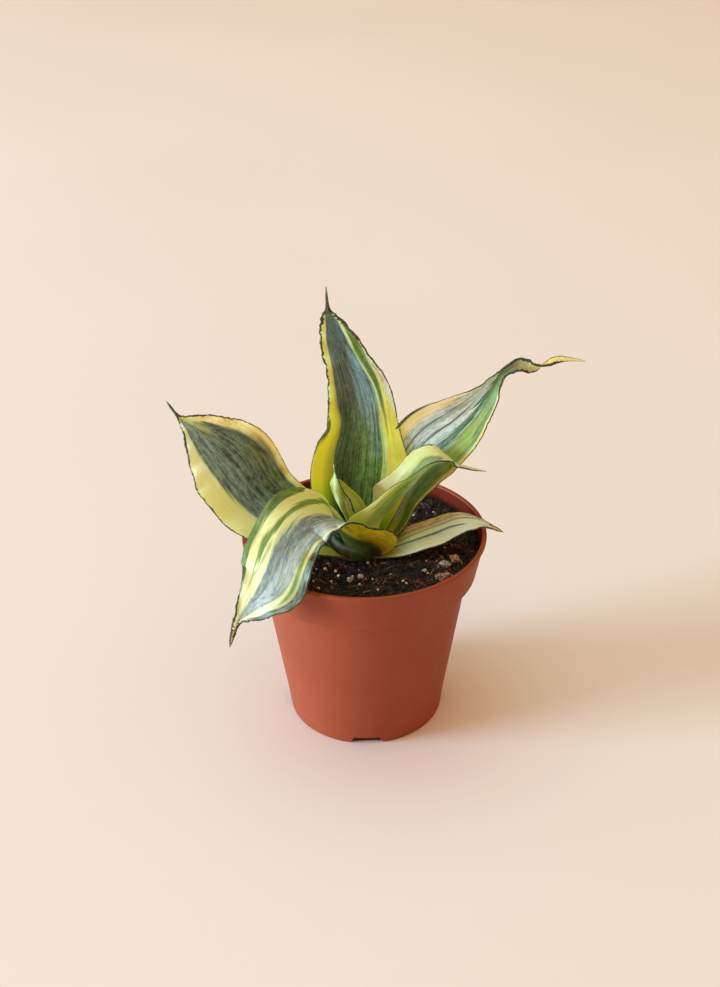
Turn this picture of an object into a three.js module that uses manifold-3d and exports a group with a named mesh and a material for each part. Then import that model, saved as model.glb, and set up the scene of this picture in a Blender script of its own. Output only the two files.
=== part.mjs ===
// Potted snake plant: a short rosette of seven variegated leaves in a 12 cm nursery pot.
// Millimetres, +Z up. The origin is the middle of the pot's foot, on the surface it stands on.
// +X is the photograph's right, +Y points away from its camera.

import * as THREE from 'three';
import { mergeVertices } from 'three/addons/utils/BufferGeometryUtils.js';
import Module from 'manifold-3d';

// ---------------------------------------------------------------- driving dimensions

const CLEARANCE = 0.3; // gap kept between pieces that touch on the real plant

const POT = {
  rimRadius: 60,
  height: 102,
  lipWidth: 2.2,
  lipDrop: 1.5,
  collarTopRadius: 59,
  collarBottomRadius: 55.3,
  collarBottom: 80.8,
  shoulderRadius: 51,
  shoulderBottom: 79.2,
  footRadius: 39,
  wall: 1.2,
  lipRound: 0.4, // small chamfers along the lip
  lipRoundOut: 0.5,
  lipSlope: 0.3,
  collarRound: [0.6, 0.9], // chamfer under the collar: in and up
  innerCollarRise: 2, // how much higher the step lies on the inside
  innerShoulderDrop: 0.6,
  innerFoot: [0.7, 1.2, 0.5], // slope of the wall's inner foot: in, up and in at its bottom
  segments: 48,
};

const FOOT = {
  plateRadius: 22, // flat middle of the base, which the pot stands on
  plateSlope: 2,
  innerPlateSlope: [1.2, 0.8],
  channelHeight: 3.2, // raised ring with the drain holes
  ringInnerRadius: 36.2,
  ringSlope: 0.4,
  notchCount: 4,
  notchWidthBottom: 17,
  notchWidthTop: 12.5,
  notchHeight: 3,
  cutBelow: 1, // how far the cutting shapes reach past what they cut
  notchInside: 2.5,
  notchOutside: 2,
  holeCount: 8,
  holeRadius: 3,
  holeCircle: 29.5,
  holeLength: 4,
  holeSegments: 12,
};

const SOIL = {
  level: 95,
  rimDrop: 0.8, // the surface is a little lower along the wall
  bump: 0.45,
  coarseBump: { x: 6.1, y: 5.3, shiftX: 0.7, shiftY: 0.4 },
  fineBump: { x: 2.9, y: 3.7, shift: 1.9, share: 0.5 },
  edgeFrom: 40,
  edgeTo: 56,
  wallGap: 0.05, // on top of the clearance
  edgeGap: 0.2,
  edgeDepth: 2,
  plateInset: 1,
  footInset: [1.1, 0.2],
  footRise: 1.4,
  shoulderInset: 0.6,
  collarInset: 0.7,
  collarRise: 2.6,
  surfaceDepth: 1, // points above this depth belong to the surface
  outerRing: 53,
  segments: 36,
  ringSpacing: 6,
};

// The middle of the rosette stands a little in front of the pot's axis.
const ROOTSTOCK = {
  x: -1,
  y: -4,
  radius: 13.5,
  bottom: 84,
  top: 92.3,
  round: 3,
  topRound: 0.8,
  holeAbove: 5, // the planting hole is cut from this height over the soil
  segments: 32,
};

const BLADE = {
  midThickness: [2.8, 2, 1.1], // along the middle: at the base, half way and at the tip
  edgeThickness: 0.8,
  columns: 7, // points across one face
  smallestHalf: 0.6,
  smallestCup: 0.5, // degrees
  // Edge ripples: where they start and are full, fade and are gone, and how much quicker
  // they follow each other along the second margin.
  waveRise: [0.16, 0.4],
  waveFall: [0.8, 0.95],
  waveSpeed: 1.13,
};

// Leaf stations from base to tip: x, y, z of the midline, half width across the blade,
// roll about the midline (degrees) and cup, the half angle of the channelled section (degrees).
// heading: the direction that the leaf leans to, from +X. wave: height, count, phase.
const LEAVES = [
  {
    name: 'leaf_front_arching',
    color: 0xb9c08a,
    heading: 225,
    rings: 40,
    wave: [0.9, 8, 1.1],
    stations: [
      [-1, -15.5, 95, 20, 55.5, 68],
      [-0.5, -18.5, 103, 17.5, 31, 55],
      [-8, -21.5, 113, 14.5, 8, 42],
      [-17.5, -23, 124.3, 15.2, -18, 25],
      [-29, -30.5, 127.6, 16.8, -27, 8],
      [-37.5, -41.5, 119.5, 16.8, -24, -3],
      [-43, -51.5, 107, 17, -17, -3],
      [-51, -54.5, 97, 9.5, -20.5, 12],
      [-59, -54.5, 87.5, 2.5, -40, 30],
      [-62, -55, 79.2, 1.2, -50, 0],
      [-63.6, -55.5, 73, 0.6, -50, 0],
    ],
  },
  {
    name: 'leaf_right_inner',
    color: 0xc3cc6a,
    heading: 20,
    rings: 30,
    wave: [0.4, 5, 0.6],
    stations: [
      [2.5, -6.5, 94, 12, -40, 85],
      [6.5, -5.5, 110, 19, -40, 85],
      [13.5, -7, 121.5, 17, -25.5, 72.5],
      [22.5, -4, 130.5, 14, -20, 65],
      [30, -1, 139, 12.1, -8, 50],
      [36.5, 2, 141.3, 9.3, 0, 30],
      [41, 4, 139, 5, 0, 10],
      [44.5, 5, 135.5, 2, 0, 0],
      [50.5, 6, 133, 1.1, 0, 0],
      [59.5, 7, 130.5, 0.6, 0, 0],
    ],
  },
  {
    name: 'leaf_new_spear',
    color: 0xa9b890,
    heading: 200,
    rings: 20,
    wave: [0.3, 3, 0],
    stations: [
      [-7, -4, 94, 8, 10, 75],
      [-7, -3.5, 109.5, 12, -27, 84],
      [-13, -2, 122, 10.5, -13, 83.5],
      [-14.5, -4.5, 130, 5.5, 11, 51.5],
      [-13.5, -3, 136, 1.2, 0, 30],
      [-14, -3, 141.5, 0.6, 0, 0],
    ],
  },
  {
    name: 'leaf_right_long',
    color: 0x8fa386,
    heading: 25,
    rings: 42,
    wave: [0.5, 6, 0.4],
    stations: [
      [7, 4.5, 93.5, 10, 16.5, 74],
      [13, 8.5, 103, 13.5, 29.5, 57.5],
      [18, 13, 117.5, 15, 37, 46],
      [24.5, 14.5, 131, 17, 50, 38],
      [32.5, 16, 141.2, 18.6, 52, 32],
      [44.5, 19, 148.9, 15.8, 50, 35],
      [54, 24, 155.4, 11.2, 50, 50],
      [60.5, 27, 162, 8, 48, 70],
      [65, 29, 167.5, 5.5, 45, 95],
      [68.5, 30, 172.5, 3.4, 50, 105],
      [75.5, 31, 176, 3.6, 70, 70],
      [82.5, 31, 175, 3.6, 110, 40],
      [89, 31, 176, 2.4, 170, 0],
      [94.5, 32, 178, 1.8, 230, 0],
      [101.5, 32, 178, 0.9, 250, 0],
      [108, 32, 177, 0.6, 250, 0],
    ],
  },
  {
    name: 'leaf_back_tall',
    color: 0x76864c,
    heading: 100,
    rings: 38,
    wave: [0.7, 9, 1.3],
    stations: [
      [-4, 5.5, 94, 14, 0, 75],
      [-4, 7, 105, 18.5, 0, 55],
      [-3.5, 9.5, 119.5, 24, 0, 30],
      [-2, 12.5, 136.5, 24, 0, 18],
      [-0.6, 15.5, 152, 17.9, 0, 12],
      [-2.1, 18, 168, 15.6, 0, 10],
      [-7, 20, 183, 11.2, -5, 10],
      [-12.5, 21.5, 196.5, 8.2, -8, 12],
      [-15.5, 22.5, 205.5, 4.4, -8, 15],
      [-16, 23, 210, 1.1, 0, 10],
      [-16.5, 22.5, 220.5, 0.6, 0, 5],
    ],
  },
  {
    name: 'leaf_right_low',
    color: 0xc9c796,
    heading: 5,
    rings: 26,
    wave: [0.5, 4, 0.8],
    stations: [
      [4.5, -9, 95, 9, 12.5, 61],
      [14, -9, 96.5, 9.5, -0.5, 18],
      [23.5, -8.5, 100.5, 10.5, 8, 16.5],
      [35.5, -6, 103.5, 10.5, 7, 19],
      [46.5, -4.5, 107.5, 8.5, 10.5, 13.5],
      [55.5, -4, 108, 4, 10, 10],
      [61, -3, 105.5, 1.5, 40, 5],
      [68, -3, 102, 0.6, 40, 5],
    ],
  },
  {
    name: 'leaf_left',
    color: 0x8b9060,
    heading: 172,
    rings: 34,
    wave: [0.8, 8, 1.7],
    stations: [
      [-9.5, -7.5, 95, 10, -15, 70],
      [-22.5, -8, 105, 16, -28, 45],
      [-38.5, -5.5, 113.5, 18, -45, 22],
      [-52, -2.5, 123.5, 20.5, -54.5, 9],
      [-63.5, 1, 141, 21.5, -58, 8],
      [-73, 3, 151, 15, -58, 8],
      [-80.5, 4, 158, 7.5, -55, 10],
      [-87, 5, 163, 1.2, -50, 5],
      [-92.5, 6, 171, 0.6, -50, 5],
    ],
  },
];

// Pieces of bark and perlite that lie half sunk in the soil: x, y, length, width, height, turn.
const BARK_CHIPS = [
  { color: 0xb89470, at: [43.5, -15], size: [7.5, 3.6, 3], turn: 125 },
  { color: 0x9a9488, at: [38.5, -20.5], size: [6.5, 5, 3.2], turn: 40 },
  { color: 0x6b5a4c, at: [38, -31], size: [9.5, 7, 3.4], turn: 20 },
];

const PERLITE = [
  { at: [-7, -33.5], size: [3.6, 3.4, 3.4], turn: 20 },
  { at: [-2, -31.5], size: [3.2, 3, 3], turn: 70 },
  { at: [28.5, -26], size: [2.4, 2.2, 2.2], turn: 10 },
];

const LUMP = {
  uneven: 0.13, // share of the radius
  bend: [5.1, 3.7, 4.3],
  lift: 0.1, // share of the height that stands above the middle
};

const FINISH = {
  pot: { color: 0xb05a3c, roughness: 0.55 },
  rootstock: { color: 0x8a7a4a, roughness: 0.8 },
  soil: { color: 0x2a211b, roughness: 0.95 },
  perlite: { color: 0xd8cfc0, roughness: 0.9 },
  leafRoughness: 0.45,
  barkRoughness: 0.85,
};

// ---------------------------------------------------------------- helpers

const wasm = await Module();
wasm.setup();

function toSolid(geometry) {
  const plain = geometry.clone();
  plain.deleteAttribute('normal');
  plain.deleteAttribute('uv');
  const merged = mergeVertices(plain);
  return new wasm.Manifold(
    new wasm.Mesh({
      numProp: 3,
      vertProperties: new Float32Array(merged.attributes.position.array),
      triVerts: new Uint32Array(merged.index.array),
    }),
  );
}

function toGeometry(solid) {
  const mesh = solid.getMesh();
  const geometry = new THREE.BufferGeometry();
  geometry.setAttribute('position', new THREE.BufferAttribute(mesh.vertProperties, 3));
  geometry.setIndex(new THREE.BufferAttribute(mesh.triVerts, 1));
  return geometry;
}

// The largest body of a cut piece; scraps that the cut leaves loose are dropped.
function largestBody(solid) {
  const bodies = solid.decompose();
  return bodies.reduce((best, body) => (body.volume() > best.volume() ? body : best));
}

function plainMaterial({ color, roughness }) {
  return new THREE.MeshStandardMaterial({ color, roughness, metalness: 0 });
}

// A turned solid about +Z from points [radius, height] that start and end on the axis.
function turned(points, segments) {
  const profile = points.map(([radius, height]) => new THREE.Vector2(radius, height));
  return new THREE.LatheGeometry(profile, segments).rotateX(Math.PI / 2);
}

// ---------------------------------------------------------------- pot

function potProfile() {
  const { wall, rimRadius, height, footRadius, lipRound, shoulderRadius } = POT;
  const { plateRadius, channelHeight, ringInnerRadius } = FOOT;
  const channelTop = channelHeight + wall;
  const lipBottom = height - POT.lipDrop;
  const lipInner = rimRadius - POT.lipWidth;
  const [collarIn, collarUp] = POT.collarRound;
  const [footIn, footUp, channelIn] = POT.innerFoot;
  const [slopeOut, slopeIn] = FOOT.innerPlateSlope;
  return [
    [0, 0],
    [plateRadius, 0],
    [plateRadius + FOOT.plateSlope, channelHeight],
    [ringInnerRadius, channelHeight],
    [ringInnerRadius + FOOT.ringSlope, 0],
    [footRadius, 0],
    [shoulderRadius, POT.shoulderBottom],
    [POT.collarBottomRadius - collarIn, POT.collarBottom],
    [POT.collarBottomRadius, POT.collarBottom + collarUp],
    [POT.collarTopRadius, lipBottom - POT.lipSlope],
    [rimRadius, lipBottom],
    [rimRadius, height - lipRound],
    [rimRadius - POT.lipRoundOut, height],
    [lipInner + lipRound, height],
    [lipInner, height - lipRound],
    [POT.collarBottomRadius - wall, POT.collarBottom + POT.innerCollarRise],
    [shoulderRadius - wall, POT.shoulderBottom - POT.innerShoulderDrop],
    [footRadius - wall + footIn, channelTop + footUp],
    [footRadius - wall - channelIn, channelTop],
    [plateRadius + slopeOut, channelTop],
    [plateRadius - slopeIn, wall],
    [0, wall],
  ];
}

// Trapezoid through the foot ring, wider at the bottom, which lets water drain away.
function footNotch(angle) {
  const { notchHeight, cutBelow } = FOOT;
  const bottomHalf = FOOT.notchWidthBottom / 2;
  const topHalf = FOOT.notchWidthTop / 2;
  const below = bottomHalf + ((bottomHalf - topHalf) / notchHeight) * cutBelow;
  const outline = new THREE.Shape([
    new THREE.Vector2(-below, -cutBelow),
    new THREE.Vector2(below, -cutBelow),
    new THREE.Vector2(topHalf, notchHeight),
    new THREE.Vector2(-topHalf, notchHeight),
  ]);
  const inner = FOOT.ringInnerRadius - FOOT.notchInside;
  const depth = POT.footRadius + FOOT.notchOutside - inner;
  const prism = new THREE.ExtrudeGeometry(outline, { depth, bevelEnabled: false });
  return prism.rotateX(Math.PI / 2).translate(0, -inner, 0).rotateZ(angle);
}

function drainHole(angle) {
  const { holeRadius, holeLength, holeSegments } = FOOT;
  const hole = new THREE.CylinderGeometry(holeRadius, holeRadius, holeLength, holeSegments);
  const middle = FOOT.channelHeight + POT.wall / 2;
  return hole.rotateX(Math.PI / 2).translate(FOOT.holeCircle, 0, middle).rotateZ(angle);
}

function buildPot() {
  let pot = toSolid(turned(potProfile(), POT.segments));
  for (let i = 0; i < FOOT.notchCount; i += 1) {
    pot = pot.subtract(toSolid(footNotch((i * 2 * Math.PI) / FOOT.notchCount)));
  }
  for (let i = 0; i < FOOT.holeCount; i += 1) {
    pot = pot.subtract(toSolid(drainHole(((i + 0.5) * 2 * Math.PI) / FOOT.holeCount)));
  }
  return pot;
}

// ---------------------------------------------------------------- leaves

function smoothStep(from, to, value) {
  return THREE.MathUtils.smoothstep(value, from, to);
}

// Blade thickness at u across (-1 to 1) and v along (0 to 1).
function bladeThickness(u, v) {
  const [base, middle, tip] = BLADE.midThickness;
  const along = v < 0.5 ? base + (middle - base) * 2 * v : middle + (tip - middle) * (2 * v - 1);
  return BLADE.edgeThickness + (along - BLADE.edgeThickness) * (1 - u * u);
}

// One solid blade. grow widens and thickens it, for the space that a neighbour leaves it.
function bladeGeometry(leaf, grow) {
  const { stations, heading, rings, wave } = leaf;
  const path = new THREE.CatmullRomCurve3(
    stations.map(([x, y, z]) => new THREE.Vector3(x, y, z)),
    false,
    'catmullrom',
    0.5,
  );
  const section = new THREE.CatmullRomCurve3(
    stations.map(([, , , half, roll, cup]) => new THREE.Vector3(half, roll, cup)),
    false,
    'catmullrom',
    0.5,
  );
  const lean = THREE.MathUtils.degToRad(heading);
  const across = new THREE.Vector3(-Math.sin(lean), Math.cos(lean), 0);
  const [waveHeight, waveCount, wavePhase] = wave;
  const columns = BLADE.columns;
  const positions = [];
  for (let i = 0; i < rings; i += 1) {
    const v = i / (rings - 1);
    const middle = path.getPoint(v);
    const tangent = path.getTangent(v);
    const side = across.clone().addScaledVector(tangent, -across.dot(tangent)).normalize();
    const form = section.getPoint(v);
    side.applyAxisAngle(tangent, THREE.MathUtils.degToRad(form.y));
    const face = new THREE.Vector3().crossVectors(tangent, side);
    const flat = Math.abs(form.z) < BLADE.smallestCup;
    const cup = THREE.MathUtils.degToRad(flat ? BLADE.smallestCup : form.z);
    const half = Math.max(form.x, BLADE.smallestHalf) + grow;
    const radius = half / cup;
    const waveScale = smoothStep(...BLADE.waveRise, v) * (1 - smoothStep(...BLADE.waveFall, v));
    const upper = [];
    const lower = [];
    for (let j = 0; j < columns; j += 1) {
      const u = Math.sin((Math.PI / 2) * (-1 + (2 * j) / (columns - 1)));
      const angle = cup * u;
      const speed = u < 0 ? 1 : BLADE.waveSpeed;
      const turns = 2 * Math.PI * waveCount * v * speed + (u < 0 ? 0 : wavePhase);
      const ripple = waveHeight * waveScale * Math.abs(u) ** 3 * Math.sin(turns);
      const normal = face
        .clone()
        .multiplyScalar(Math.cos(angle))
        .addScaledVector(side, -Math.sin(angle));
      const centre = middle
        .clone()
        .addScaledVector(side, radius * Math.sin(angle))
        .addScaledVector(face, radius * (1 - Math.cos(angle)))
        .addScaledVector(normal, ripple);
      const thickness = bladeThickness(u, v) / 2 + grow;
      upper.push(centre.clone().addScaledVector(normal, thickness));
      lower.unshift(centre.clone().addScaledVector(normal, -thickness));
    }
    for (const point of [...upper, ...lower]) {
      positions.push(point.x, point.y, point.z);
    }
  }
  const geometry = new THREE.BufferGeometry();
  geometry.setAttribute('position', new THREE.Float32BufferAttribute(positions, 3));
  geometry.setIndex(bladeTriangles(rings, columns));
  return geometry;
}

// Triangles of the closed blade. Both faces are split along the same diagonal.
function bladeTriangles(rings, columns) {
  const around = 2 * columns;
  const index = [];
  for (let i = 0; i < rings - 1; i += 1) {
    for (let k = 0; k < around; k += 1) {
      const a = i * around + k;
      const b = i * around + ((k + 1) % around);
      const c = b + around;
      const d = a + around;
      if (k < columns) {
        index.push(a, d, c, a, c, b);
      } else {
        index.push(a, d, b, b, d, c);
      }
    }
  }
  const last = (rings - 1) * around;
  for (let j = 0; j < columns - 1; j += 1) {
    const low = around - 1 - j;
    index.push(j, j + 1, low, j + 1, low - 1, low);
    index.push(last + j, last + low, last + j + 1, last + j + 1, last + low, last + low - 1);
  }
  return index;
}

// Blades in the order of LEAVES: each later one gives way to the earlier ones where they meet,
// and all of them end just above the rootstock.
function buildLeaves() {
  const placed = [];
  const grownBefore = [];
  const stemSpace = toSolid(rootstockGeometry(CLEARANCE));
  for (const leaf of LEAVES) {
    let blade = toSolid(bladeGeometry(leaf, 0)).subtract(stemSpace);
    for (const neighbour of grownBefore) {
      blade = blade.subtract(neighbour);
    }
    placed.push({ leaf, blade: largestBody(blade) });
    grownBefore.push(toSolid(bladeGeometry(leaf, CLEARANCE)));
  }
  return { placed, grown: grownBefore };
}

// ---------------------------------------------------------------- rootstock and soil

// The short stem under the surface, which the leaf bases sit on.
function rootstockGeometry(grow) {
  const { x, y, bottom, round, topRound } = ROOTSTOCK;
  const radius = ROOTSTOCK.radius + grow;
  const top = ROOTSTOCK.top + grow;
  return turned(
    [
      [0, bottom - grow],
      [radius - round, bottom - grow],
      [radius, bottom + round],
      [radius, top - topRound],
      [radius - topRound, top],
      [0, top],
    ],
    ROOTSTOCK.segments,
  ).translate(x, y, 0);
}

// The plain hole in the soil that the rootstock and the leaf bases stand in.
function plantingHole() {
  const { x, y, radius, bottom, segments } = ROOTSTOCK;
  const top = SOIL.level + ROOTSTOCK.holeAbove;
  const width = radius + CLEARANCE;
  const depth = top - bottom + CLEARANCE;
  const hole = new THREE.CylinderGeometry(width, width, depth, segments);
  return hole.rotateX(Math.PI / 2).translate(x, y, (top + bottom - CLEARANCE) / 2);
}

function soilHeight(x, y) {
  const { coarseBump, fineBump } = SOIL;
  const alongX = Math.sin(x / coarseBump.x + coarseBump.shiftX);
  const alongY = Math.cos(y / coarseBump.y - coarseBump.shiftY);
  const fine = Math.sin(x / fineBump.x - y / fineBump.y + fineBump.shift);
  const edge = smoothStep(SOIL.edgeFrom, SOIL.edgeTo, Math.hypot(x, y));
  const relief = SOIL.bump * (alongX * alongY + fineBump.share * fine);
  return SOIL.level - SOIL.rimDrop * edge + relief;
}

function innerWallRadius(height) {
  const lowRadius = POT.collarBottomRadius - POT.wall;
  const lowHeight = POT.collarBottom + POT.innerCollarRise;
  const highRadius = POT.rimRadius - POT.lipWidth;
  const share = (height - lowHeight) / (POT.height - POT.lipRound - lowHeight);
  return lowRadius + (highRadius - lowRadius) * share;
}

function soilGeometry() {
  const { wall, footRadius, shoulderRadius, collarBottomRadius } = POT;
  const gap = CLEARANCE + SOIL.wallGap;
  const channelTop = FOOT.channelHeight + wall + gap;
  const edgeHeight = SOIL.level - SOIL.rimDrop;
  const edgeRadius = innerWallRadius(edgeHeight - SOIL.edgeDepth) - gap - SOIL.edgeGap;
  const [footIn, footOut] = SOIL.footInset;
  const surfaceRings = [];
  for (let radius = SOIL.outerRing; radius > 0; radius -= SOIL.ringSpacing) {
    surfaceRings.push([radius, SOIL.level]);
  }
  const points = [
    [0, wall + gap],
    [FOOT.plateRadius - SOIL.plateInset, wall + gap],
    [FOOT.plateRadius + FOOT.innerPlateSlope[0], channelTop],
    [footRadius - wall - footIn, channelTop],
    [footRadius - wall + footOut, channelTop + SOIL.footRise],
    [shoulderRadius - wall - SOIL.shoulderInset, POT.shoulderBottom],
    [collarBottomRadius - wall - SOIL.collarInset, POT.collarBottom + SOIL.collarRise],
    [edgeRadius, edgeHeight],
    ...surfaceRings,
    [0, SOIL.level],
  ];
  const geometry = turned(points, SOIL.segments);
  const position = geometry.attributes.position;
  for (let i = 0; i < position.count; i += 1) {
    if (position.getZ(i) > SOIL.level - SOIL.surfaceDepth) {
      position.setZ(i, soilHeight(position.getX(i), position.getY(i)));
    }
  }
  return geometry;
}

function buildSoil(sunkPieces) {
  let soil = toSolid(soilGeometry()).subtract(toSolid(plantingHole()));
  for (const piece of sunkPieces) {
    soil = soil.subtract(piece);
  }
  return largestBody(soil);
}

// ---------------------------------------------------------------- bark and perlite

// A faceted lump with uneven corners, half sunk in the soil surface.
function lumpGeometry({ at, size, turn }, grow) {
  const [bendX, bendY, bendZ] = LUMP.bend;
  const lump = new THREE.IcosahedronGeometry(1, 1);
  const position = lump.attributes.position;
  for (let i = 0; i < position.count; i += 1) {
    const corner = new THREE.Vector3().fromBufferAttribute(position, i);
    const turns = corner.x * bendX + corner.y * bendY + corner.z * bendZ + at[0];
    corner.multiplyScalar(1 + LUMP.uneven * Math.sin(turns));
    position.setXYZ(i, corner.x, corner.y, corner.z);
  }
  const [length, width, height] = size;
  return lump
    .scale(length / 2 + grow, width / 2 + grow, height / 2 + grow)
    .rotateZ(THREE.MathUtils.degToRad(turn))
    .translate(at[0], at[1], soilHeight(at[0], at[1]) + height * LUMP.lift);
}

// ---------------------------------------------------------------- assembly

function addPiece(group, name, geometry, finish) {
  const mesh = new THREE.Mesh(geometry, plainMaterial(finish));
  mesh.name = name;
  group.add(mesh);
}

const plant = new THREE.Group();

addPiece(plant, 'pot', toGeometry(buildPot()), FINISH.pot);
addPiece(plant, 'rootstock', toGeometry(toSolid(rootstockGeometry(0))), FINISH.rootstock);

const { placed, grown } = buildLeaves();
for (const { leaf, blade } of placed) {
  const finish = { color: leaf.color, roughness: FINISH.leafRoughness };
  addPiece(plant, leaf.name, toGeometry(blade), finish);
}

const lumps = [
  ...BARK_CHIPS.map((chip, i) => ({
    ...chip,
    name: `bark_chip_${i + 1}`,
    finish: { color: chip.color, roughness: FINISH.barkRoughness },
  })),
  ...PERLITE.map((grain, i) => ({
    ...grain,
    name: `perlite_grain_${i + 1}`,
    finish: FINISH.perlite,
  })),
];
for (const lump of lumps) {
  addPiece(plant, lump.name, toGeometry(toSolid(lumpGeometry(lump, 0))), lump.finish);
}

const sunk = [...grown, ...lumps.map((lump) => toSolid(lumpGeometry(lump, CLEARANCE)))];
addPiece(plant, 'soil', toGeometry(buildSoil(sunk)), FINISH.soil);

export default plant;
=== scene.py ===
"""Potted snake plant: seven variegated leaves in a 12 cm nursery pot, dressed for pictures.

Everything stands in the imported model's frame, in metres: +Z up, the origin in the middle of the
pot's foot on the surface that it stands on, +X to the picture's right and +Y away from its camera.
Sizes are written in millimetres and become metres where a mesh is made. Colours are written as the
eye sees them, from 0 to 255.
"""

import logging
import math
from collections.abc import Callable, Iterator
from contextlib import contextmanager
from dataclasses import dataclass, field
from enum import Enum

import bpy
import numpy as np
from bpy.types import Material, NodeSocket, Object, ShaderNode
from mathutils import Matrix, Vector, noise


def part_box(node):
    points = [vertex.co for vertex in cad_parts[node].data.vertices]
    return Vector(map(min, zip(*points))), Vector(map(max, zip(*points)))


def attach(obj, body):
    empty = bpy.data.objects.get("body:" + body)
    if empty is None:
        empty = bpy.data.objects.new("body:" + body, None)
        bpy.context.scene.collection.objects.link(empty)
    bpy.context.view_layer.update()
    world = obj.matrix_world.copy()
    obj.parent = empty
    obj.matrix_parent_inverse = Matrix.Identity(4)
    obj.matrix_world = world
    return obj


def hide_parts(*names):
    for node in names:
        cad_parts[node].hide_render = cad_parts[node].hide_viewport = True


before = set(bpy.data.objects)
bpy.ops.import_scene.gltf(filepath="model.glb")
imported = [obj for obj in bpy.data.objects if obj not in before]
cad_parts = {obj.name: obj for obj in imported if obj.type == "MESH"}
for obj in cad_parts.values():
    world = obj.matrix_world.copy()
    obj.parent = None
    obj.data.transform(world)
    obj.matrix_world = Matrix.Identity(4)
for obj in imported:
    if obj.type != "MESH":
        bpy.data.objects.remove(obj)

MM = 0.001
BODY = "root"
BLADE_MAP = "blade"
EDGE_DISTANCE = "edge_distance"
TINT = "tint"

Colour = tuple[float, float, float]
Curve = tuple[tuple[float, float], ...]
Stops = tuple[tuple[float, Colour], ...]
Value = float | NodeSocket

log = logging.getLogger("snake_plant")


# ------------------------------------------------------------------ shared helpers


def paint(colour: Colour) -> tuple[float, float, float, float]:
    """Turns a colour as the eye sees it into the linear light that a shader takes.

    Args:
        colour: Red, green and blue from 0 to 255.

    Returns:
        Linear red, green, blue and an opacity of 1.
    """
    shares = [channel / 255 for channel in colour]
    linear = [
        share / 12.92 if share <= 0.04045 else ((share + 0.055) / 1.055) ** 2.4 for share in shares
    ]
    return (linear[0], linear[1], linear[2], 1.0)


def smooth_step(low: float, high: float, value: np.ndarray) -> np.ndarray:
    """Eases from 0 at low to 1 at high.

    Args:
        low: Where the ease begins.
        high: Where it ends.
        value: The places to read.

    Returns:
        The eased shares.
    """
    share = np.clip((value - low) / (high - low), 0, 1)
    return share * share * (3 - 2 * share)


def wander(place: np.ndarray, spacing: float, seed: int) -> np.ndarray:
    """Reads a smooth random line between -1 and 1.

    Args:
        place: Distances along the line.
        spacing: Distance between two of its random knots.
        seed: Which line.

    Returns:
        The line's value at each place.
    """
    step = place / spacing
    index = np.floor(step).astype(int)
    knots = np.random.default_rng(seed).uniform(-1, 1, int(index.max()) + 2)
    ease = smooth_step(0, 1, step - index)
    return knots[index] * (1 - ease) + knots[index + 1] * ease


def read_curve(curve: Curve, place: np.ndarray) -> np.ndarray:
    """Reads a curve that is given by a few points.

    Args:
        curve: Pairs of place and value.
        place: Where to read it.

    Returns:
        The values there.
    """
    places, values = zip(*curve)
    return np.interp(place, places, values)


def take_up(piece: Object) -> None:
    """Makes a piece the only selected one and the active one.

    Args:
        piece: The piece to work on.
    """
    bpy.ops.object.select_all(action="DESELECT")
    piece.select_set(True)
    bpy.context.view_layer.objects.active = piece


def start_piece(name: str, primitive: Callable[..., object], **settings: object) -> Object:
    """Adds a primitive while nothing else is selected.

    Args:
        name: The new piece's name, also of its mesh.
        primitive: The operator that adds it.
        settings: The operator's settings by name.

    Returns:
        The piece, active and selected.
    """
    bpy.ops.object.select_all(action="DESELECT")
    primitive(**settings)
    piece = bpy.context.active_object
    piece.name = name
    piece.data.name = name
    return piece


@contextmanager
def editing(selection: str | None = "SELECT") -> Iterator[None]:
    """Opens the active piece in edit mode, and closes it again at the end.

    Args:
        selection: SELECT or DESELECT for all of the mesh, or None to leave it as it is.

    Yields:
        Nothing, once the piece is open.
    """
    bpy.ops.object.mode_set(mode="EDIT")
    if selection:
        bpy.ops.mesh.select_all(action=selection)
    yield
    bpy.ops.object.mode_set(mode="OBJECT")


def vertex_places(piece: Object) -> np.ndarray:
    """Reads a mesh's vertices.

    Args:
        piece: The piece to read.

    Returns:
        One row of x, y, z for each vertex.
    """
    places = np.empty(len(piece.data.vertices) * 3)
    piece.data.vertices.foreach_get("co", places)
    return places.reshape(-1, 3)


def move_vertices(piece: Object, places: np.ndarray) -> None:
    """Moves a mesh's vertices.

    Args:
        piece: The piece to shape.
        places: One row of x, y, z for each vertex.
    """
    piece.data.vertices.foreach_set("co", places.astype(np.float32).ravel())
    piece.data.update()


def apply_modifier(piece: Object, kind: str, **settings: object) -> None:
    """Adds one modifier and applies it.

    Args:
        piece: The piece to change.
        kind: The modifier's type.
        settings: Its settings by name.
    """
    take_up(piece)
    modifier = piece.modifiers.new(kind.lower(), kind)
    for key, value in settings.items():
        setattr(modifier, key, value)
    bpy.ops.object.modifier_apply(modifier=modifier.name)


def seat(piece: Object, slot: str, *nodes: str) -> None:
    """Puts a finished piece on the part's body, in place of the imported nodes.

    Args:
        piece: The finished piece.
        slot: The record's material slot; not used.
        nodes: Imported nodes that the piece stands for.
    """
    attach(piece, BODY)
    if nodes:
        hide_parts(*nodes)
    log.info("%s: %d faces", piece.name, len(piece.data.polygons))


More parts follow.
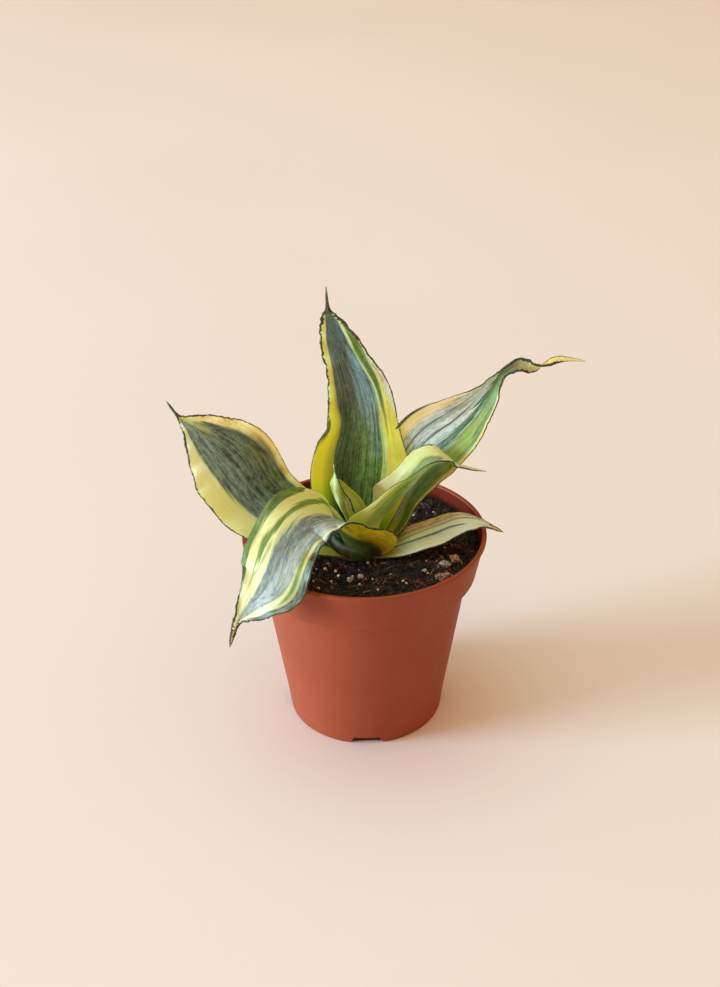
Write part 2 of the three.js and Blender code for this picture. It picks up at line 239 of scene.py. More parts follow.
class Palette:
    """The nodes of one material, added a few at a time."""

    def __init__(self, name: str) -> None:
        """Starts a material with its surface shader.

        Args:
            name: The material's name.
        """
        self.material: Material = bpy.data.materials.new(name)
        self.material.use_nodes = True
        self.tree = self.material.node_tree
        self.shader: ShaderNode = self.tree.nodes["Principled BSDF"]

    def feed(self, target: NodeSocket, value: object) -> None:
        """Links a socket or sets its value.

        Args:
            target: The socket to feed.
            value: Another node's output, or a number, vector or colour.
        """
        if isinstance(value, NodeSocket):
            self.tree.links.new(value, target)
        else:
            target.default_value = value

    def add(self, kind: str, feeds: dict[int | str, object], **settings: object) -> ShaderNode:
        """Adds a node.

        Args:
            kind: The node's type, without the words that all of them start with.
            feeds: What goes into its sockets, by their name or number.
            settings: The node's own settings.

        Returns:
            The node.
        """
        node = self.tree.nodes.new("ShaderNode" + kind)
        for key, value in settings.items():
            setattr(node, key, value)
        for key, value in feeds.items():
            self.feed(node.inputs[key], value)
        return node

    def place(self) -> NodeSocket:
        """Reads the place on the piece, in metres."""
        return self.add("TexCoord", {}).outputs["Object"]

    def math(
        self, operation: str, first: Value, second: Value = 0.0, clamp: bool = False
    ) -> NodeSocket:
        """Adds one step of arithmetic.

        Args:
            operation: Its name.
            first: The first number.
            second: The second number.
            clamp: Whether the result stays between 0 and 1.

        Returns:
            The result.
        """
        feeds = {0: first, 1: second}
        return self.add("Math", feeds, operation=operation, use_clamp=clamp).outputs[0]

    def times(self, first: Value, second: Value) -> NodeSocket:
        """Multiplies two values."""
        return self.math("MULTIPLY", first, second)

    def weigh(self, *parts: tuple[Value, float], clamp: bool = False) -> NodeSocket:
        """Adds up values, each times its share.

        Args:
            parts: Pairs of value and share.
            clamp: Whether the sum stays between 0 and 1.

        Returns:
            The sum.
        """
        total, *others = [self.times(value, share) for value, share in parts]
        for other in others:
            total = self.math("ADD", total, other, clamp)
        return total

    def spread(
        self, value: Value, low: Value, high: Value, to_low: float = 0.0, to_high: float = 1.0
    ) -> NodeSocket:
        """Eases a value from one range to another.

        Args:
            value: The value to read.
            low: Where the range begins.
            high: Where it ends.
            to_low: The result at low and below.
            to_high: The result at high and above.

        Returns:
            The eased value.
        """
        feeds = {0: value, 1: low, 2: high, 3: to_low, 4: to_high}
        return self.add("MapRange", feeds, interpolation_type="SMOOTHSTEP").outputs[0]

    def mix(self, share: Value, first: object, second: object, blend: str = "MIX") -> NodeSocket:
        """Mixes two colours.

        Args:
            share: How much of the second.
            first: A colour or another node's output.
            second: A colour or another node's output.
            blend: How they mix.

        Returns:
            The mixed colour.
        """
        feeds = {0: share, 6: first, 7: second}
        return self.add("Mix", feeds, data_type="RGBA", blend_type=blend).outputs[2]

    def noise(
        self, place: NodeSocket, scale: float, detail: float = 3.0, rough: float = 0.55
    ) -> NodeSocket:
        """Adds cloudy noise.

        Args:
            place: Where it is read.
            scale: How many clouds fit in one unit.
            detail: How many finer layers it has.
            rough: How strong the finer layers are.

        Returns:
            The noise, about 0.5 in the middle.
        """
        feeds = {"Vector": place, "Scale": scale, "Detail": detail, "Roughness": rough}
        return self.add("TexNoise", feeds).outputs[0]

    def stretch(self, place: NodeSocket, scale: tuple[float, float, float]) -> NodeSocket:
        """Scales coordinates.

        Args:
            place: The coordinates.
            scale: The factor along each axis.

        Returns:
            The scaled coordinates.
        """
        return self.add("Mapping", {"Vector": place, "Scale": scale}).outputs[0]

    def curve(self, value: NodeSocket, points: Curve) -> NodeSocket:
        """Adds a curve through a few points.

        Args:
            value: Where it is read, from 0 to 1.
            points: Pairs of place and value, in order of place.

        Returns:
            The curve's value.
        """
        node = self.add("FloatCurve", {"Value": value})
        mapping = node.mapping
        mapping.use_clip = False
        line = mapping.curves[0]
        first, *middle, last = points
        line.points[0].location = first
        line.points[1].location = last
        for place in middle:
            line.points.new(*place)
        for point in line.points:
            point.handle_type = "AUTO_CLAMPED"
        mapping.update()
        return node.outputs[0]

    def ramp(self, value: NodeSocket, stops: Stops) -> NodeSocket:
        """Adds a colour ramp.

        Args:
            value: Where it is read, from 0 to 1.
            stops: Pairs of place and colour, in order of place.

        Returns:
            The colour there.
        """
        node = self.add("ValToRGB", {0: value})
        elements = node.color_ramp.elements
        for index, (place, colour) in enumerate(stops):
            element = elements[index] if index < 2 else elements.new(place)
            element.position = place
            element.color = paint(colour)
        return node.outputs[0]

    def bump(
        self, height: NodeSocket, depth: float, strength: float, under: NodeSocket | None = None
    ) -> NodeSocket:
        """Adds fine relief.

        Args:
            height: The relief, from 0 to 1.
            depth: Its depth in millimetres.
            strength: How much of it shows.
            under: Coarser relief that it lies on.

        Returns:
            The relief's normal.
        """
        feeds = {"Height": height, "Distance": depth * MM, "Strength": strength}
        if under is not None:
            feeds["Normal"] = under
        return self.add("Bump", feeds).outputs[0]

    def finish(self, colour: object, roughness: object, **others: object) -> Material:
        """Feeds the surface shader.

        Args:
            colour: The base colour.
            roughness: The roughness.
            others: What goes into its other sockets, by their names with _ for each space.

        Returns:
            The finished material.
        """
        feeds = {"Base Color": colour, "Roughness": roughness}
        feeds.update({key.replace("_", " "): value for key, value in others.items()})
        for key, value in feeds.items():
            self.feed(self.shader.inputs[key], value)
        return self.material


# ------------------------------------------------------------------ leaf finish

HAIRLINE: Colour = (120, 128, 60)
BLOOM: Colour = (246, 244, 214)
TIP_STREAK: Colour = (220, 222, 170)
RIM_STREAK = 1.45
ALL_ALONG: Curve = ((0.0, 1.0), (1.0, 1.0))
NOWHERE: Curve = ((0.0, 0.0), (1.0, 0.0))


class Face(Enum):
    """The faces of a blade, each with a finish of its own."""

    UPPER = "upper"
    UNDER = "under"
    RIM = "rim"


class Tissue(Enum):
    """Patterns in every leaf: a grain's width and length in millimetres, detail and roughness."""

    CLOUD = (5.0, 6.5, 3.0, 0.55)
    HAIR = (0.35, 7.0, 2.0, 0.55)
    FLECK = (0.8, 1.6, 2.0, 0.55)
    SWAY = (2.6, 24.0, 2.0, 0.55)
    BLOTCH = (2.6, 4.2, 4.0, 0.65)


@dataclass(frozen=True)
class Stripe:
    """One lengthwise stripe of a blade.

    Attributes:
        dark: Colour of its darker streaks.
        light: Colour of its lighter streaks.
        edges: Rows of place along, low edge and high edge, as shares of length and width.
        soft: Half the width of the blur at its edges, as a share of the blade's width.
        ragged: How far streaks push its edges in and out, as a share of the width.
        strength: How strongly it covers, along the blade.
        fade: Half the length over which its ends fade, as a share of the blade's length.
    """

    dark: Colour
    light: Colour
    edges: tuple[tuple[float, float, float], ...]
    soft: float = 0.018
    ragged: float = 0.03
    strength: Curve = ALL_ALONG
    fade: float = 0.02

    def cover(
        self, palette: Palette, along: NodeSocket, across: NodeSocket, push: NodeSocket
    ) -> NodeSocket:
        """Works out where the stripe covers the blade.

        Args:
            palette: The material.
            along: Share of the length, from the base.
            across: Share of the width.
            push: Streaks from -1 to 1 that push the edges.

        Returns:
            The cover, from 0 to 1.
        """
        start, end, fade = self.edges[0][0], self.edges[-1][0], self.fade
        low, high = self._edge(palette, along, 1), self._edge(palette, along, 2)
        moved = palette.math("ADD", across, palette.times(push, self.ragged))
        past_low = palette.math("SUBTRACT", moved, low)
        inside = palette.math("MINIMUM", past_low, palette.math("SUBTRACT", high, moved))
        cover = palette.spread(inside, -self.soft, self.soft)
        if start > 0:
            cover = palette.times(cover, palette.spread(along, start - fade, start + fade))
        if end < 1:
            cover = palette.times(cover, palette.spread(along, end - fade, end + fade, 1.0, 0.0))
        if self.strength != ALL_ALONG:
            strength = palette.curve(along, self.strength)
            cover = palette.math("MULTIPLY", cover, strength, clamp=True)
        return cover

    def _edge(self, palette: Palette, along: NodeSocket, column: int) -> NodeSocket:
        """Adds the curve of one edge, level before its first point and after its last.

        Args:
            palette: The material.
            along: Share of the length, from the base.
            column: Its column in the rows of edges.

        Returns:
            The edge's share of the width.
        """
        points = [(row[0], row[column]) for row in self.edges]
        if points[0][0] > 0:
            points.insert(0, (0.0, points[0][1]))
        if points[-1][0] < 1:
            points.append((1.0, points[-1][1]))
        return palette.curve(along, tuple(points))


@dataclass(frozen=True)
class LeafFinish:
    """The colours of one blade.

    Attributes:
        ground: Colour under the stripes, along the blade.
        stripes: Stripes of both faces, from the lowest layer up.
        rim_low: Width in millimetres of the dark line along the edge at share 0.
        rim_high: The same along the edge at share 1.
        tip: Colours of the last stretch and of the spike, along the blade.
        tip_from: Where the last stretch begins.
        under_stripes: Further stripes of the underside.
        rim: Colour of the edge line.
        streak_width: Width of the streaks in millimetres.
        streak_length: Length of the streaks in millimetres.
        under_tint: Colour that the underside is multiplied by.
        mottle: How much of the tone comes from blotches and not from streaks.
    """

    ground: Stops
    stripes: tuple[Stripe, ...]
    rim_low: Curve
    rim_high: Curve
    tip: Stops
    tip_from: float
    under_stripes: tuple[Stripe, ...] = ()
    rim: Colour = (44, 50, 32)
    streak_width: float = 1.1
    streak_length: float = 22.0
    under_tint: Colour = (235, 224, 176)
    mottle: float = 0.3

    def dress(self, name: str, width: float, length: float, face: Face) -> Material:
        """Makes the material of one face.

        Args:
            name: The leaf's name.
            width: The blade's largest width in millimetres.
            length: Its length in millimetres.
            face: Which face.

        Returns:
            The material.
        """
        palette = Palette(f"{name}_{face.value}")
        place = palette.add("UVMap", {}, uv_map=BLADE_MAP).outputs[0]
        split = palette.add("SeparateXYZ", {0: place})
        across, along = split.outputs[0], split.outputs[1]
        patterns = [(self.streak_width, self.streak_length, 3.0, 0.55)]
        patterns += [tissue.value for tissue in Tissue]
        streak, cloud, hair, fleck, sway, blotch = (
            palette.noise(palette.stretch(place, (width / wide, length / long, 1)), 1.0, *finer)
            for wide, long, *finer in patterns
        )
        push = palette.spread(palette.weigh((sway, 0.7), (streak, 0.3)), 0.3, 0.7, -1.0, 1.0)
        grain = palette.weigh((streak, 0.8 - self.mottle), (blotch, self.mottle), (fleck, 0.2))
        share = palette.spread(grain, 0.38, 0.62)
        colour = palette.ramp(along, self.ground)
        colour = palette.mix(palette.spread(hair, 0.3, 0.8, 0.0, 0.12), colour, paint(HAIRLINE))
        colour = palette.mix(palette.spread(cloud, 0.45, 0.75, 0.0, 0.18), colour, paint(BLOOM))
        for stripe in self.stripes + (self.under_stripes if face is Face.UNDER else ()):
            tone = palette.mix(share, paint(stripe.dark), paint(stripe.light))
            colour = palette.mix(stripe.cover(palette, along, across, push), colour, tone)
        if face is Face.UNDER:
            colour = palette.mix(1.0, colour, paint(self.under_tint), "MULTIPLY")
        colour = self._tip(palette, along, share, colour)
        line = 1.0 if face is Face.RIM else self._edge_line(palette, along, across, length)
        streaked = tuple(RIM_STREAK * channel for channel in self.rim)
        colour = palette.mix(line, colour, palette.mix(share, paint(self.rim), paint(streaked)))
        relief = palette.weigh((hair, 0.45), (streak, 0.55))
        return palette.finish(
            colour,
            palette.spread(grain, 0.35, 0.65, 0.6, 0.48),
            Normal=palette.bump(relief, 0.09, 0.8, palette.bump(cloud, 0.5, 0.5)),
            Subsurface_Weight=0.5,
            Subsurface_Radius=(0.9, 1.0, 0.6),
            Subsurface_Scale=3.0 * MM,
        )

    def _tip(
        self, palette: Palette, along: NodeSocket, share: NodeSocket, colour: NodeSocket
    ) -> NodeSocket:
        """Lays the colours of the last stretch over the blade.

        Args:
            palette: The material.
            along: Share of the length, from the base.
            share: How light the streaks are.
            colour: The blade's colour under them.

        Returns:
            The colour with its tip.
        """
        blur = 0.02
        cover = palette.spread(along, self.tip_from - blur, self.tip_from + blur)
        shade = palette.ramp(along, self.tip)
        return palette.mix(
            cover, colour, palette.mix(palette.times(share, 0.25), shade, paint(TIP_STREAK))
        )

    def _edge_line(
        self, palette: Palette, along: NodeSocket, across: NodeSocket, length: float
    ) -> NodeSocket:
        """Works out the dark line along both edges, uneven like the real one.

        Args:
            palette: The material.
            along: Share of the length, from the base.
            across: Share of the width.
            length: The blade's length in millimetres.

        Returns:
            The line's cover, from 0 to 1.
        """
        distance = palette.add("Attribute", {}, attribute_name=EDGE_DISTANCE).outputs["Fac"]
        low, high = palette.curve(along, self.rim_low), palette.curve(along, self.rim_high)
        is_high = palette.math("GREATER_THAN", across, 0.5)
        width = palette.add("Mix", {0: is_high, 2: low, 3: high}, data_type="FLOAT").outputs[0]
        place = palette.add("CombineXYZ", {0: palette.times(along, length), 1: is_high}).outputs[0]
        uneven = palette.noise(place, 0.55, 3.0, 0.7)
        width = palette.times(width, palette.spread(uneven, 0.3, 0.7, 0.45, 1.6))
        return palette.spread(palette.math("SUBTRACT", distance, width), -0.12, 0.16, 1.0, 0.0)


# ------------------------------------------------------------------ leaves


@dataclass(frozen=True)
class Blade:
    """The thickness and the mesh of every blade.

    Attributes:
        middle: Thickness along the middle, at the base, half way and at the tip.
        edge: Thickness near the edges.
        rim: Thickness of the very edge.
        round_width: Width of the strip along each edge that is rounded off.
        thin_from: Share of the length from which the blade gets thinner still.
        thinning: Share of the thickness that is lost at the very tip.
        columns: Faces across.
        row_length: Length of one face along the blade.
        spike_from: Share of the length from which the blade gets narrower still.
        spike_share: Width left at the very tip, as a share of the station's.
        least_half: The least half width that a station is given.
        least_cup: The least cup in degrees, because a flat blade has no radius.
    """

    middle: tuple[float, float, float] = (2.8, 2.0, 1.1)
    edge: float = 0.8
    rim: float = 0.34
    round_width: float = 0.7
    thin_from: float = 0.93
    thinning: float = 0.55
    columns: int = 44
    row_length: float = 0.55
    spike_from: float = 0.95
    spike_share: float = 0.4
    least_half: float = 0.6
    least_cup: float = 0.5

    def thickness(self, across: np.ndarray, along: np.ndarray, half: np.ndarray) -> np.ndarray:
        """Works out how thick the blade is.

        Args:
            across: Place across, from -1 to 1.
            along: Share of the length.
            half: Half the width there.

        Returns:
            The thickness in millimetres.
        """
        along_middle = np.interp(along, (0, 0.5, 1), self.middle)
        full = self.edge + (along_middle - self.edge) * (1 - across**2)
        inner = np.clip(half * (1 - np.abs(across)) / self.round_width, 0, 1)
        rounded = self.rim + (full - self.rim) * np.sqrt(1 - (1 - inner) ** 2)
        return rounded * (1 - self.thinning * smooth_step(self.thin_from, 1.0, along))


BLADE = Blade()


@dataclass(frozen=True)
class Crimp:
    """Small waves and teeth of a blade's edges.

    Attributes:
        low: Height in millimetres of the fine teeth at share 0, along the blade.
        high: The same at share 1.
        scallop_low: Height of the larger scallops at share 0, along the blade.
        scallop_high: The same at share 1.
        tooth: Spacing of the teeth.
        scallop: Spacing of the scallops.
        tooth_reach: How far the teeth reach in from the edge.
        scallop_reach: How far the scallops reach in.
    """

    low: Curve
    high: Curve
    scallop_low: Curve = NOWHERE
    scallop_high: Curve = NOWHERE
    tooth: float = 1.5
    scallop: float = 4.2
    tooth_reach: float = 0.9
    scallop_reach: float = 3.0


@dataclass
class Leaf:
    """One blade of the rosette.

    Attributes:
        name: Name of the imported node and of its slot.
        heading: Direction that it leans to, in degrees from +X.
        wave: Height, count and phase of the long ripple of its edges.
        stations: Rows of x, y, z of the midline, half width, roll and cup, from base to tip.
        crimp: Fine shape of its edges.
        finish: Its colours.
        seed: Which random lines it uses.
        length: Length of its midline in millimetres, measured as it is built.
    """

    name: str
    heading: float
    wave: tuple[float, float, float]
    stations: tuple[tuple[float, ...], ...]
    crimp: Crimp
    finish: LeafFinish
    seed: int
    length: float = field(init=False, default=0.0)

    def build(self) -> None:
        """Models the blade and dresses it."""
        self.length = self._midline_length()
        piece = start_piece(
            self.name + "_blade",
            bpy.ops.mesh.primitive_grid_add,
            x_subdivisions=BLADE.columns,
            y_subdivisions=int(self.length / BLADE.row_length),
            size=2,
        )
        piece.data.uv_layers[0].name = BLADE_MAP
        flat = vertex_places(piece)
        across = np.sin(flat[:, 0] * math.pi / 2)
        self._even_map(piece)
        along = (flat[:, 1] + 1) / 2
        places, half = self._surface(across, along)
        move_vertices(piece, places * MM)
        distance = piece.data.attributes.new(EDGE_DISTANCE, "FLOAT", "POINT")
        distance.data.foreach_set("value", (half * (1 - np.abs(across))).astype(np.float32))
        self._thicken(piece, BLADE.thickness(across, along, half))
        seat(piece, self.name, self.name)

    def _even_map(self, piece: Object) -> None:
        """Makes the map's width follow the blade's, since the columns are closer near the edges.

        Args:
            piece: The blade as a flat grid.
        """
        layer = piece.data.uv_layers[0]
        places = np.empty(len(layer.data) * 2)
        layer.data.foreach_get("uv", places)
        places = places.reshape(-1, 2)
        places[:, 0] = (np.sin((places[:, 0] - 0.5) * math.pi) + 1) / 2
        layer.data.foreach_set("uv", places.ravel())

    def _midline_length(self) -> float:
        """Measures the blade along its middle.

        Returns:
            The length in millimetres.
        """
        samples = 400
        middle = self._along_stations(np.linspace(0, 1, samples))[:, :3]
        return float(np.linalg.norm(np.diff(middle, axis=0), axis=1).sum())

    def _along_stations(self, along: np.ndarray) -> np.ndarray:
        """Reads a smooth curve through the stations, uniform in their number.

        Args:
            along: Shares of the length.

        Returns:
            One row for each share, with a station's columns.
        """
        rows = np.array(self.stations, dtype=float)
        closed = np.vstack((2 * rows[0] - rows[1], rows, 2 * rows[-1] - rows[-2]))
        place = np.clip(along, 0, 1 - 1e-9) * (len(rows) - 1)
        index = np.floor(place).astype(int)
        share = (place - index)[:, None]
        before, start, end, after = (closed[index + step] for step in range(4))
        return 0.5 * (
            2 * start
            + (end - before) * share
            + (2 * before - 5 * start + 4 * end - after) * share**2
            + (3 * start - before - 3 * end + after) * share**3
        )

    def _surface(self, across: np.ndarray, along: np.ndarray) -> tuple[np.ndarray, np.ndarray]:
        """Works out the blade's middle surface.

        Args:
            across: Place across, from -1 to 1.
            along: Share of the length.

        Returns:
            Rows of x, y, z in millimetres, and half the width at each.
        """
        rows = self._along_stations(along)
        small = 1e-4
        ahead = self._along_stations(np.clip(along + small, 0, 1))[:, :3]
        behind = self._along_stations(np.clip(along - small, 0, 1))[:, :3]
        tangent = ahead - behind
        tangent /= np.linalg.norm(tangent, axis=1)[:, None]
        lean = math.radians(self.heading)
        level = np.array((-math.sin(lean), math.cos(lean), 0.0))
        side = level - (tangent @ level)[:, None] * tangent
        side /= np.linalg.norm(side, axis=1)[:, None]
        roll = np.radians(rows[:, 4])[:, None]
        side = np.cos(roll) * side + np.sin(roll) * np.cross(tangent, side)
        face = np.cross(tangent, side)
        half = np.maximum(rows[:, 3], BLADE.least_half)
        half = half * (1 - (1 - BLADE.spike_share) * smooth_step(BLADE.spike_from, 1.0, along))
        flat = np.abs(rows[:, 5]) < BLADE.least_cup
        cup = np.radians(np.where(flat, BLADE.least_cup, rows[:, 5]))
        radius = (half / cup)[:, None]
        angle = (cup * across)[:, None]
        outward = (side * np.cos(angle) + face * np.sin(angle)) * np.sign(across)[:, None]
        normal = face * np.cos(angle) - side * np.sin(angle)
        places = rows[:, :3] + side * radius * np.sin(angle) + face * radius * (1 - np.cos(angle))
        rise, push = self._edge_shape(across, along, half)
        return places + normal * rise[:, None] + outward * push[:, None], half

    def _edge_shape(
        self, across: np.ndarray, along: np.ndarray, half: np.ndarray
    ) -> tuple[np.ndarray, np.ndarray]:
        """Works out the ripple, the scallops and the teeth.

        Args:
            across: Place across, from -1 to 1.
            along: Share of the length.
            half: Half the width there.

        Returns:
            How far they lift the surface, and how far they push it out, in millimetres.
        """
        height, count, phase = self.wave
        crimp = self.crimp
        is_low = across < 0
        turns = 2 * math.pi * count * along * np.where(is_low, 1, 1.13) + np.where(is_low, 0, phase)
        calm = smooth_step(0.16, 0.4, along) * (1 - smooth_step(0.8, 0.95, along))
        rise = height * calm * np.abs(across) ** 3 * np.sin(turns)
        edge = half * (1 - np.abs(across))
        distance = along * self.length
        push = np.zeros_like(along)
        room = np.clip(half / 3, 0, 1)
        for chosen, teeth, scallops, offset in (
            (is_low, crimp.low, crimp.scallop_low, 10),
            (~is_low, crimp.high, crimp.scallop_high, 20),
        ):
            seed = self.seed * 100 + offset
            tooth = read_curve(teeth, along) * np.exp(-((edge / crimp.tooth_reach) ** 2)) * room
            near = np.exp(-((edge / crimp.scallop_reach) ** 2))
            scallop = read_curve(scallops, along) * near * room
            push += chosen * tooth * wander(distance, crimp.tooth, seed)
            rise += chosen * tooth * 0.9 * wander(distance, crimp.tooth * 1.3, seed + 1)
            push += chosen * scallop * 0.7 * wander(distance, crimp.scallop, seed + 2)
            rise += chosen * scallop * wander(distance, crimp.scallop * 0.8, seed + 3)
        unevenness = 0.22 * np.clip(half / 12, 0, 1) * smooth_step(0.05, 0.2, along)
        rise += unevenness * wander(distance, 11, self.seed) * np.cos(across * 4 + self.seed)
        rise += (
            unevenness * 0.7 * wander(distance, 7, self.seed + 7) * np.sin(across * 7 + self.seed)
        )
        return rise, push

    def _thicken(self, piece: Object, thickness: np.ndarray) -> None:
        """Gives the sheet its two faces and its edge, each with its finish.

        Args:
            piece: The blade as a sheet.
            thickness: Its thickness at each vertex, in millimetres.
        """
        take_up(piece)
        with editing():
            bpy.ops.mesh.flip_normals()
        largest = float(thickness.max())
        steps = 200
        group = piece.vertex_groups.new(name="thickness")
        levels = np.round(thickness / largest * steps).astype(int)
        for level in np.unique(levels):
            group.add(np.flatnonzero(levels == level).tolist(), level / steps, "REPLACE")
        width = 2 * max(row[3] for row in self.stations)
        for face in Face:
            piece.data.materials.append(self.finish.dress(self.name, width, self.length, face))
        apply_modifier(
            piece,
            "SOLIDIFY",
            thickness=largest * MM,
            offset=0.0,
            use_even_offset=False,
            vertex_group=group.name,
            material_offset=1,
            material_offset_rim=2,
        )
        piece.vertex_groups.clear()
        bpy.ops.object.shade_smooth()


FRONT_ARCHING_STRIPES = (
    Stripe((74, 102, 36), (120, 148, 68), (
        (0.32, -0.3, -0.05), (0.36, -0.2, 0.1), (0.41, -0.2, 0.14), (0.46, -0.2, 0.11),
        (0.58, -0.2, 0.08), (0.68, -0.2, 0.05), (0.8, -0.2, 0.02),
    )),
    Stripe((98, 130, 26), (130, 152, 56), (
        (0.24, -0.1, -0.02), (0.27, 0.03, 0.12), (0.3, 0.13, 0.24), (0.35, 0.24, 0.355),
        (0.4, 0.28, 0.385), (0.45, 0.245, 0.345), (0.5, 0.205, 0.305), (0.55, 0.195, 0.255),
        (0.6, 0.195, 0.23), (0.64, 0.2, 0.2),
    )),
    Stripe((112, 140, 48), (150, 170, 84), (
        (0.5, 0.335, 0.345), (0.58, 0.26, 0.28), (0.66, 0.185, 0.205), (0.7, 0.19, 0.19),
    ), ragged=0.015),
    Stripe((102, 123, 116), (179, 189, 170), (
        (0.1, 0.55, 0.95), (0.25, 0.6, 0.96), (0.35, 0.56, 0.93), (0.4, 0.52, 0.91),
        (0.45, 0.48, 0.88), (0.5, 0.42, 0.83), (0.55, 0.38, 0.79), (0.6, 0.37, 0.77),
        (0.7, 0.36, 0.7), (0.75, 0.38, 0.67), (0.8, 0.43, 0.6), (0.83, 0.5, 0.53),
    ), soft=0.03),
    Stripe((64, 87, 80), (109, 123, 110), (
        (0.28, 0.62, 0.78), (0.4, 0.54, 0.68), (0.5, 0.44, 0.56), (0.6, 0.39, 0.5),
        (0.7, 0.38, 0.46), (0.78, 0.42, 0.45),
    ), soft=0.09, ragged=0.12, strength=((0, 0.5), (0.5, 0.7), (1, 0.6))),
    # A pale silvery band right of the middle: a painted highlight, the sheen that the leaf's face
    # reflects.
    Stripe((173, 195, 192), (194, 204, 192), (
        (0.3, 0.76, 0.9), (0.4, 0.72, 0.85), (0.5, 0.62, 0.74), (0.6, 0.56, 0.68),
        (0.72, 0.5, 0.6),
    ), soft=0.09, ragged=0.12, strength=((0, 0.5), (1, 0.5))),
    Stripe((86, 118, 40), (148, 174, 90), (
        (0.44, 0.855, 0.86), (0.5, 0.83, 0.86), (0.55, 0.805, 0.875), (0.6, 0.8, 0.87),
        (0.67, 0.83, 0.835),
    ), ragged=0.012),
    Stripe((33, 53, 43), (140, 160, 135), (
        (0.2, 1, 1.3), (0.36, 0.965, 1.3), (0.42, 0.95, 1.3), (0.5, 0.915, 1.3), (0.58, 0.89, 1.3),
        (0.65, 0.87, 1.3), (0.72, 0.86, 1.3), (0.8, 0.84, 1.3),
    ), ragged=0.02),
)
FRONT_ARCHING_UNDERSIDE = (
    Stripe((170, 164, 16), (206, 196, 44), ((0, -0.3, 1.3), (0.34, -0.3, 1.3))),
    Stripe((46, 54, 4), (76, 84, 20), (
        (0, -0.3, 0.73), (0.14, -0.3, 0.72), (0.19, -0.3, 0.64), (0.25, 0.1, 0.55),
        (0.3, 0.3, 0.4),
    ), soft=0.08, ragged=0.04),
    Stripe((184, 184, 8), (236, 232, 40), (
        (0, 0.78, 1.3), (0.15, 0.8, 1.3), (0.3, 0.88, 1.3), (0.36, 1, 1.3),
    ), soft=0.06),
)
FRONT_ARCHING = Leaf(
    name="leaf_front_arching", heading=225, wave=(0.9, 8, 1.1), seed=3,
    stations=(
        (-1, -15.5, 95, 20, 55.5, 68), (-0.5, -18.5, 103, 17.5, 31, 55),
        (-8, -21.5, 113, 14.5, 8, 42), (-17.5, -23, 124.3, 15.2, -18, 25),
        (-29, -30.5, 127.6, 16.8, -27, 8), (-37.5, -41.5, 119.5, 16.8, -24, -3),
        (-43, -51.5, 107, 17, -17, -3), (-51, -54.5, 97, 9.5, -20.5, 12),
        (-59, -54.5, 87.5, 2.5, -40, 30), (-62, -55, 79.2, 1.2, -50, 0),
        (-63.6, -55.5, 73, 0.6, -50, 0),
    ),
    crimp=Crimp(
        low=((0, 0), (0.4, 0.05), (0.6, 0.25), (0.8, 0.45), (0.9, 0.1), (1, 0)),
        high=((0, 0.05), (0.3, 0.25), (0.5, 0.35), (0.8, 0.45), (0.9, 0.1), (1, 0)),
        scallop_high=((0, 0), (0.25, 0.1), (0.4, 0.7), (0.75, 0.9), (0.85, 0.2), (1, 0)),
    ),
    finish=LeafFinish(
        ground=(
            (0, (196, 184, 44)), (0.22, (199, 201, 70)), (0.36, (213, 218, 136)),
            (0.5, (224, 226, 153)), (0.7, (216, 217, 162)), (0.85, (212, 217, 149)),
        ),
        stripes=FRONT_ARCHING_STRIPES, under_stripes=FRONT_ARCHING_UNDERSIDE,
        rim_low=((0, 0.3), (0.5, 0.35), (0.7, 0.6), (0.85, 0.9), (1, 0.2)),
        rim_high=((0, 0.7), (0.3, 0.7), (0.6, 0.5), (0.85, 0.9), (1, 0.2)),
        tip=(
            (0.8, (214, 214, 150)), (0.86, (196, 172, 70)), (0.94, (200, 176, 66)),
            (1, (232, 226, 180)),
        ),
        tip_from=0.83, under_tint=(235, 233, 178), mottle=0.52, rim=(40, 50, 44),
    ),
)

RIGHT_INNER_STRIPES = (
    Stripe((98, 120, 66), (140, 150, 94), (
        (0.2, 0.1, 0.5), (0.34, 0.08, 0.74), (0.44, 0.08, 0.73), (0.5, 0.14, 0.64),
        (0.55, 0.26, 0.5),
    ), soft=0.06, ragged=0.05),
    Stripe((228, 232, 150), (244, 240, 204), (
        (0, 0.84, 1.3), (0.3, 0.8, 1.3), (0.5, 0.8, 1.3), (0.66, 0.7, 1.3),
    ), soft=0.06, strength=((0, 0.8), (0.3, 0.7), (0.4, 0.3), (1, 0.3))),
)
RIGHT_INNER_UNDERSIDE = (
    Stripe((92, 142, 34), (152, 200, 72), (
        (0.12, 0.2, 0.5), (0.2, 0.1, 0.7), (0.3, 0.05, 0.8), (0.42, 0, 0.8), (0.56, 0.1, 0.7),
        (0.64, 0.4, 0.5),
    ), soft=0.06, strength=((0, 0), (0.12, 0.2), (0.24, 0.85), (1, 1))),
    Stripe((126, 162, 112), (188, 214, 170), (
        (0.2, 0.4, 0.5), (0.3, 0.24, 0.66), (0.38, 0.04, 0.7), (0.5, -0.1, 0.7), (0.58, 0.1, 0.6),
    ), soft=0.05, ragged=0.07),
)
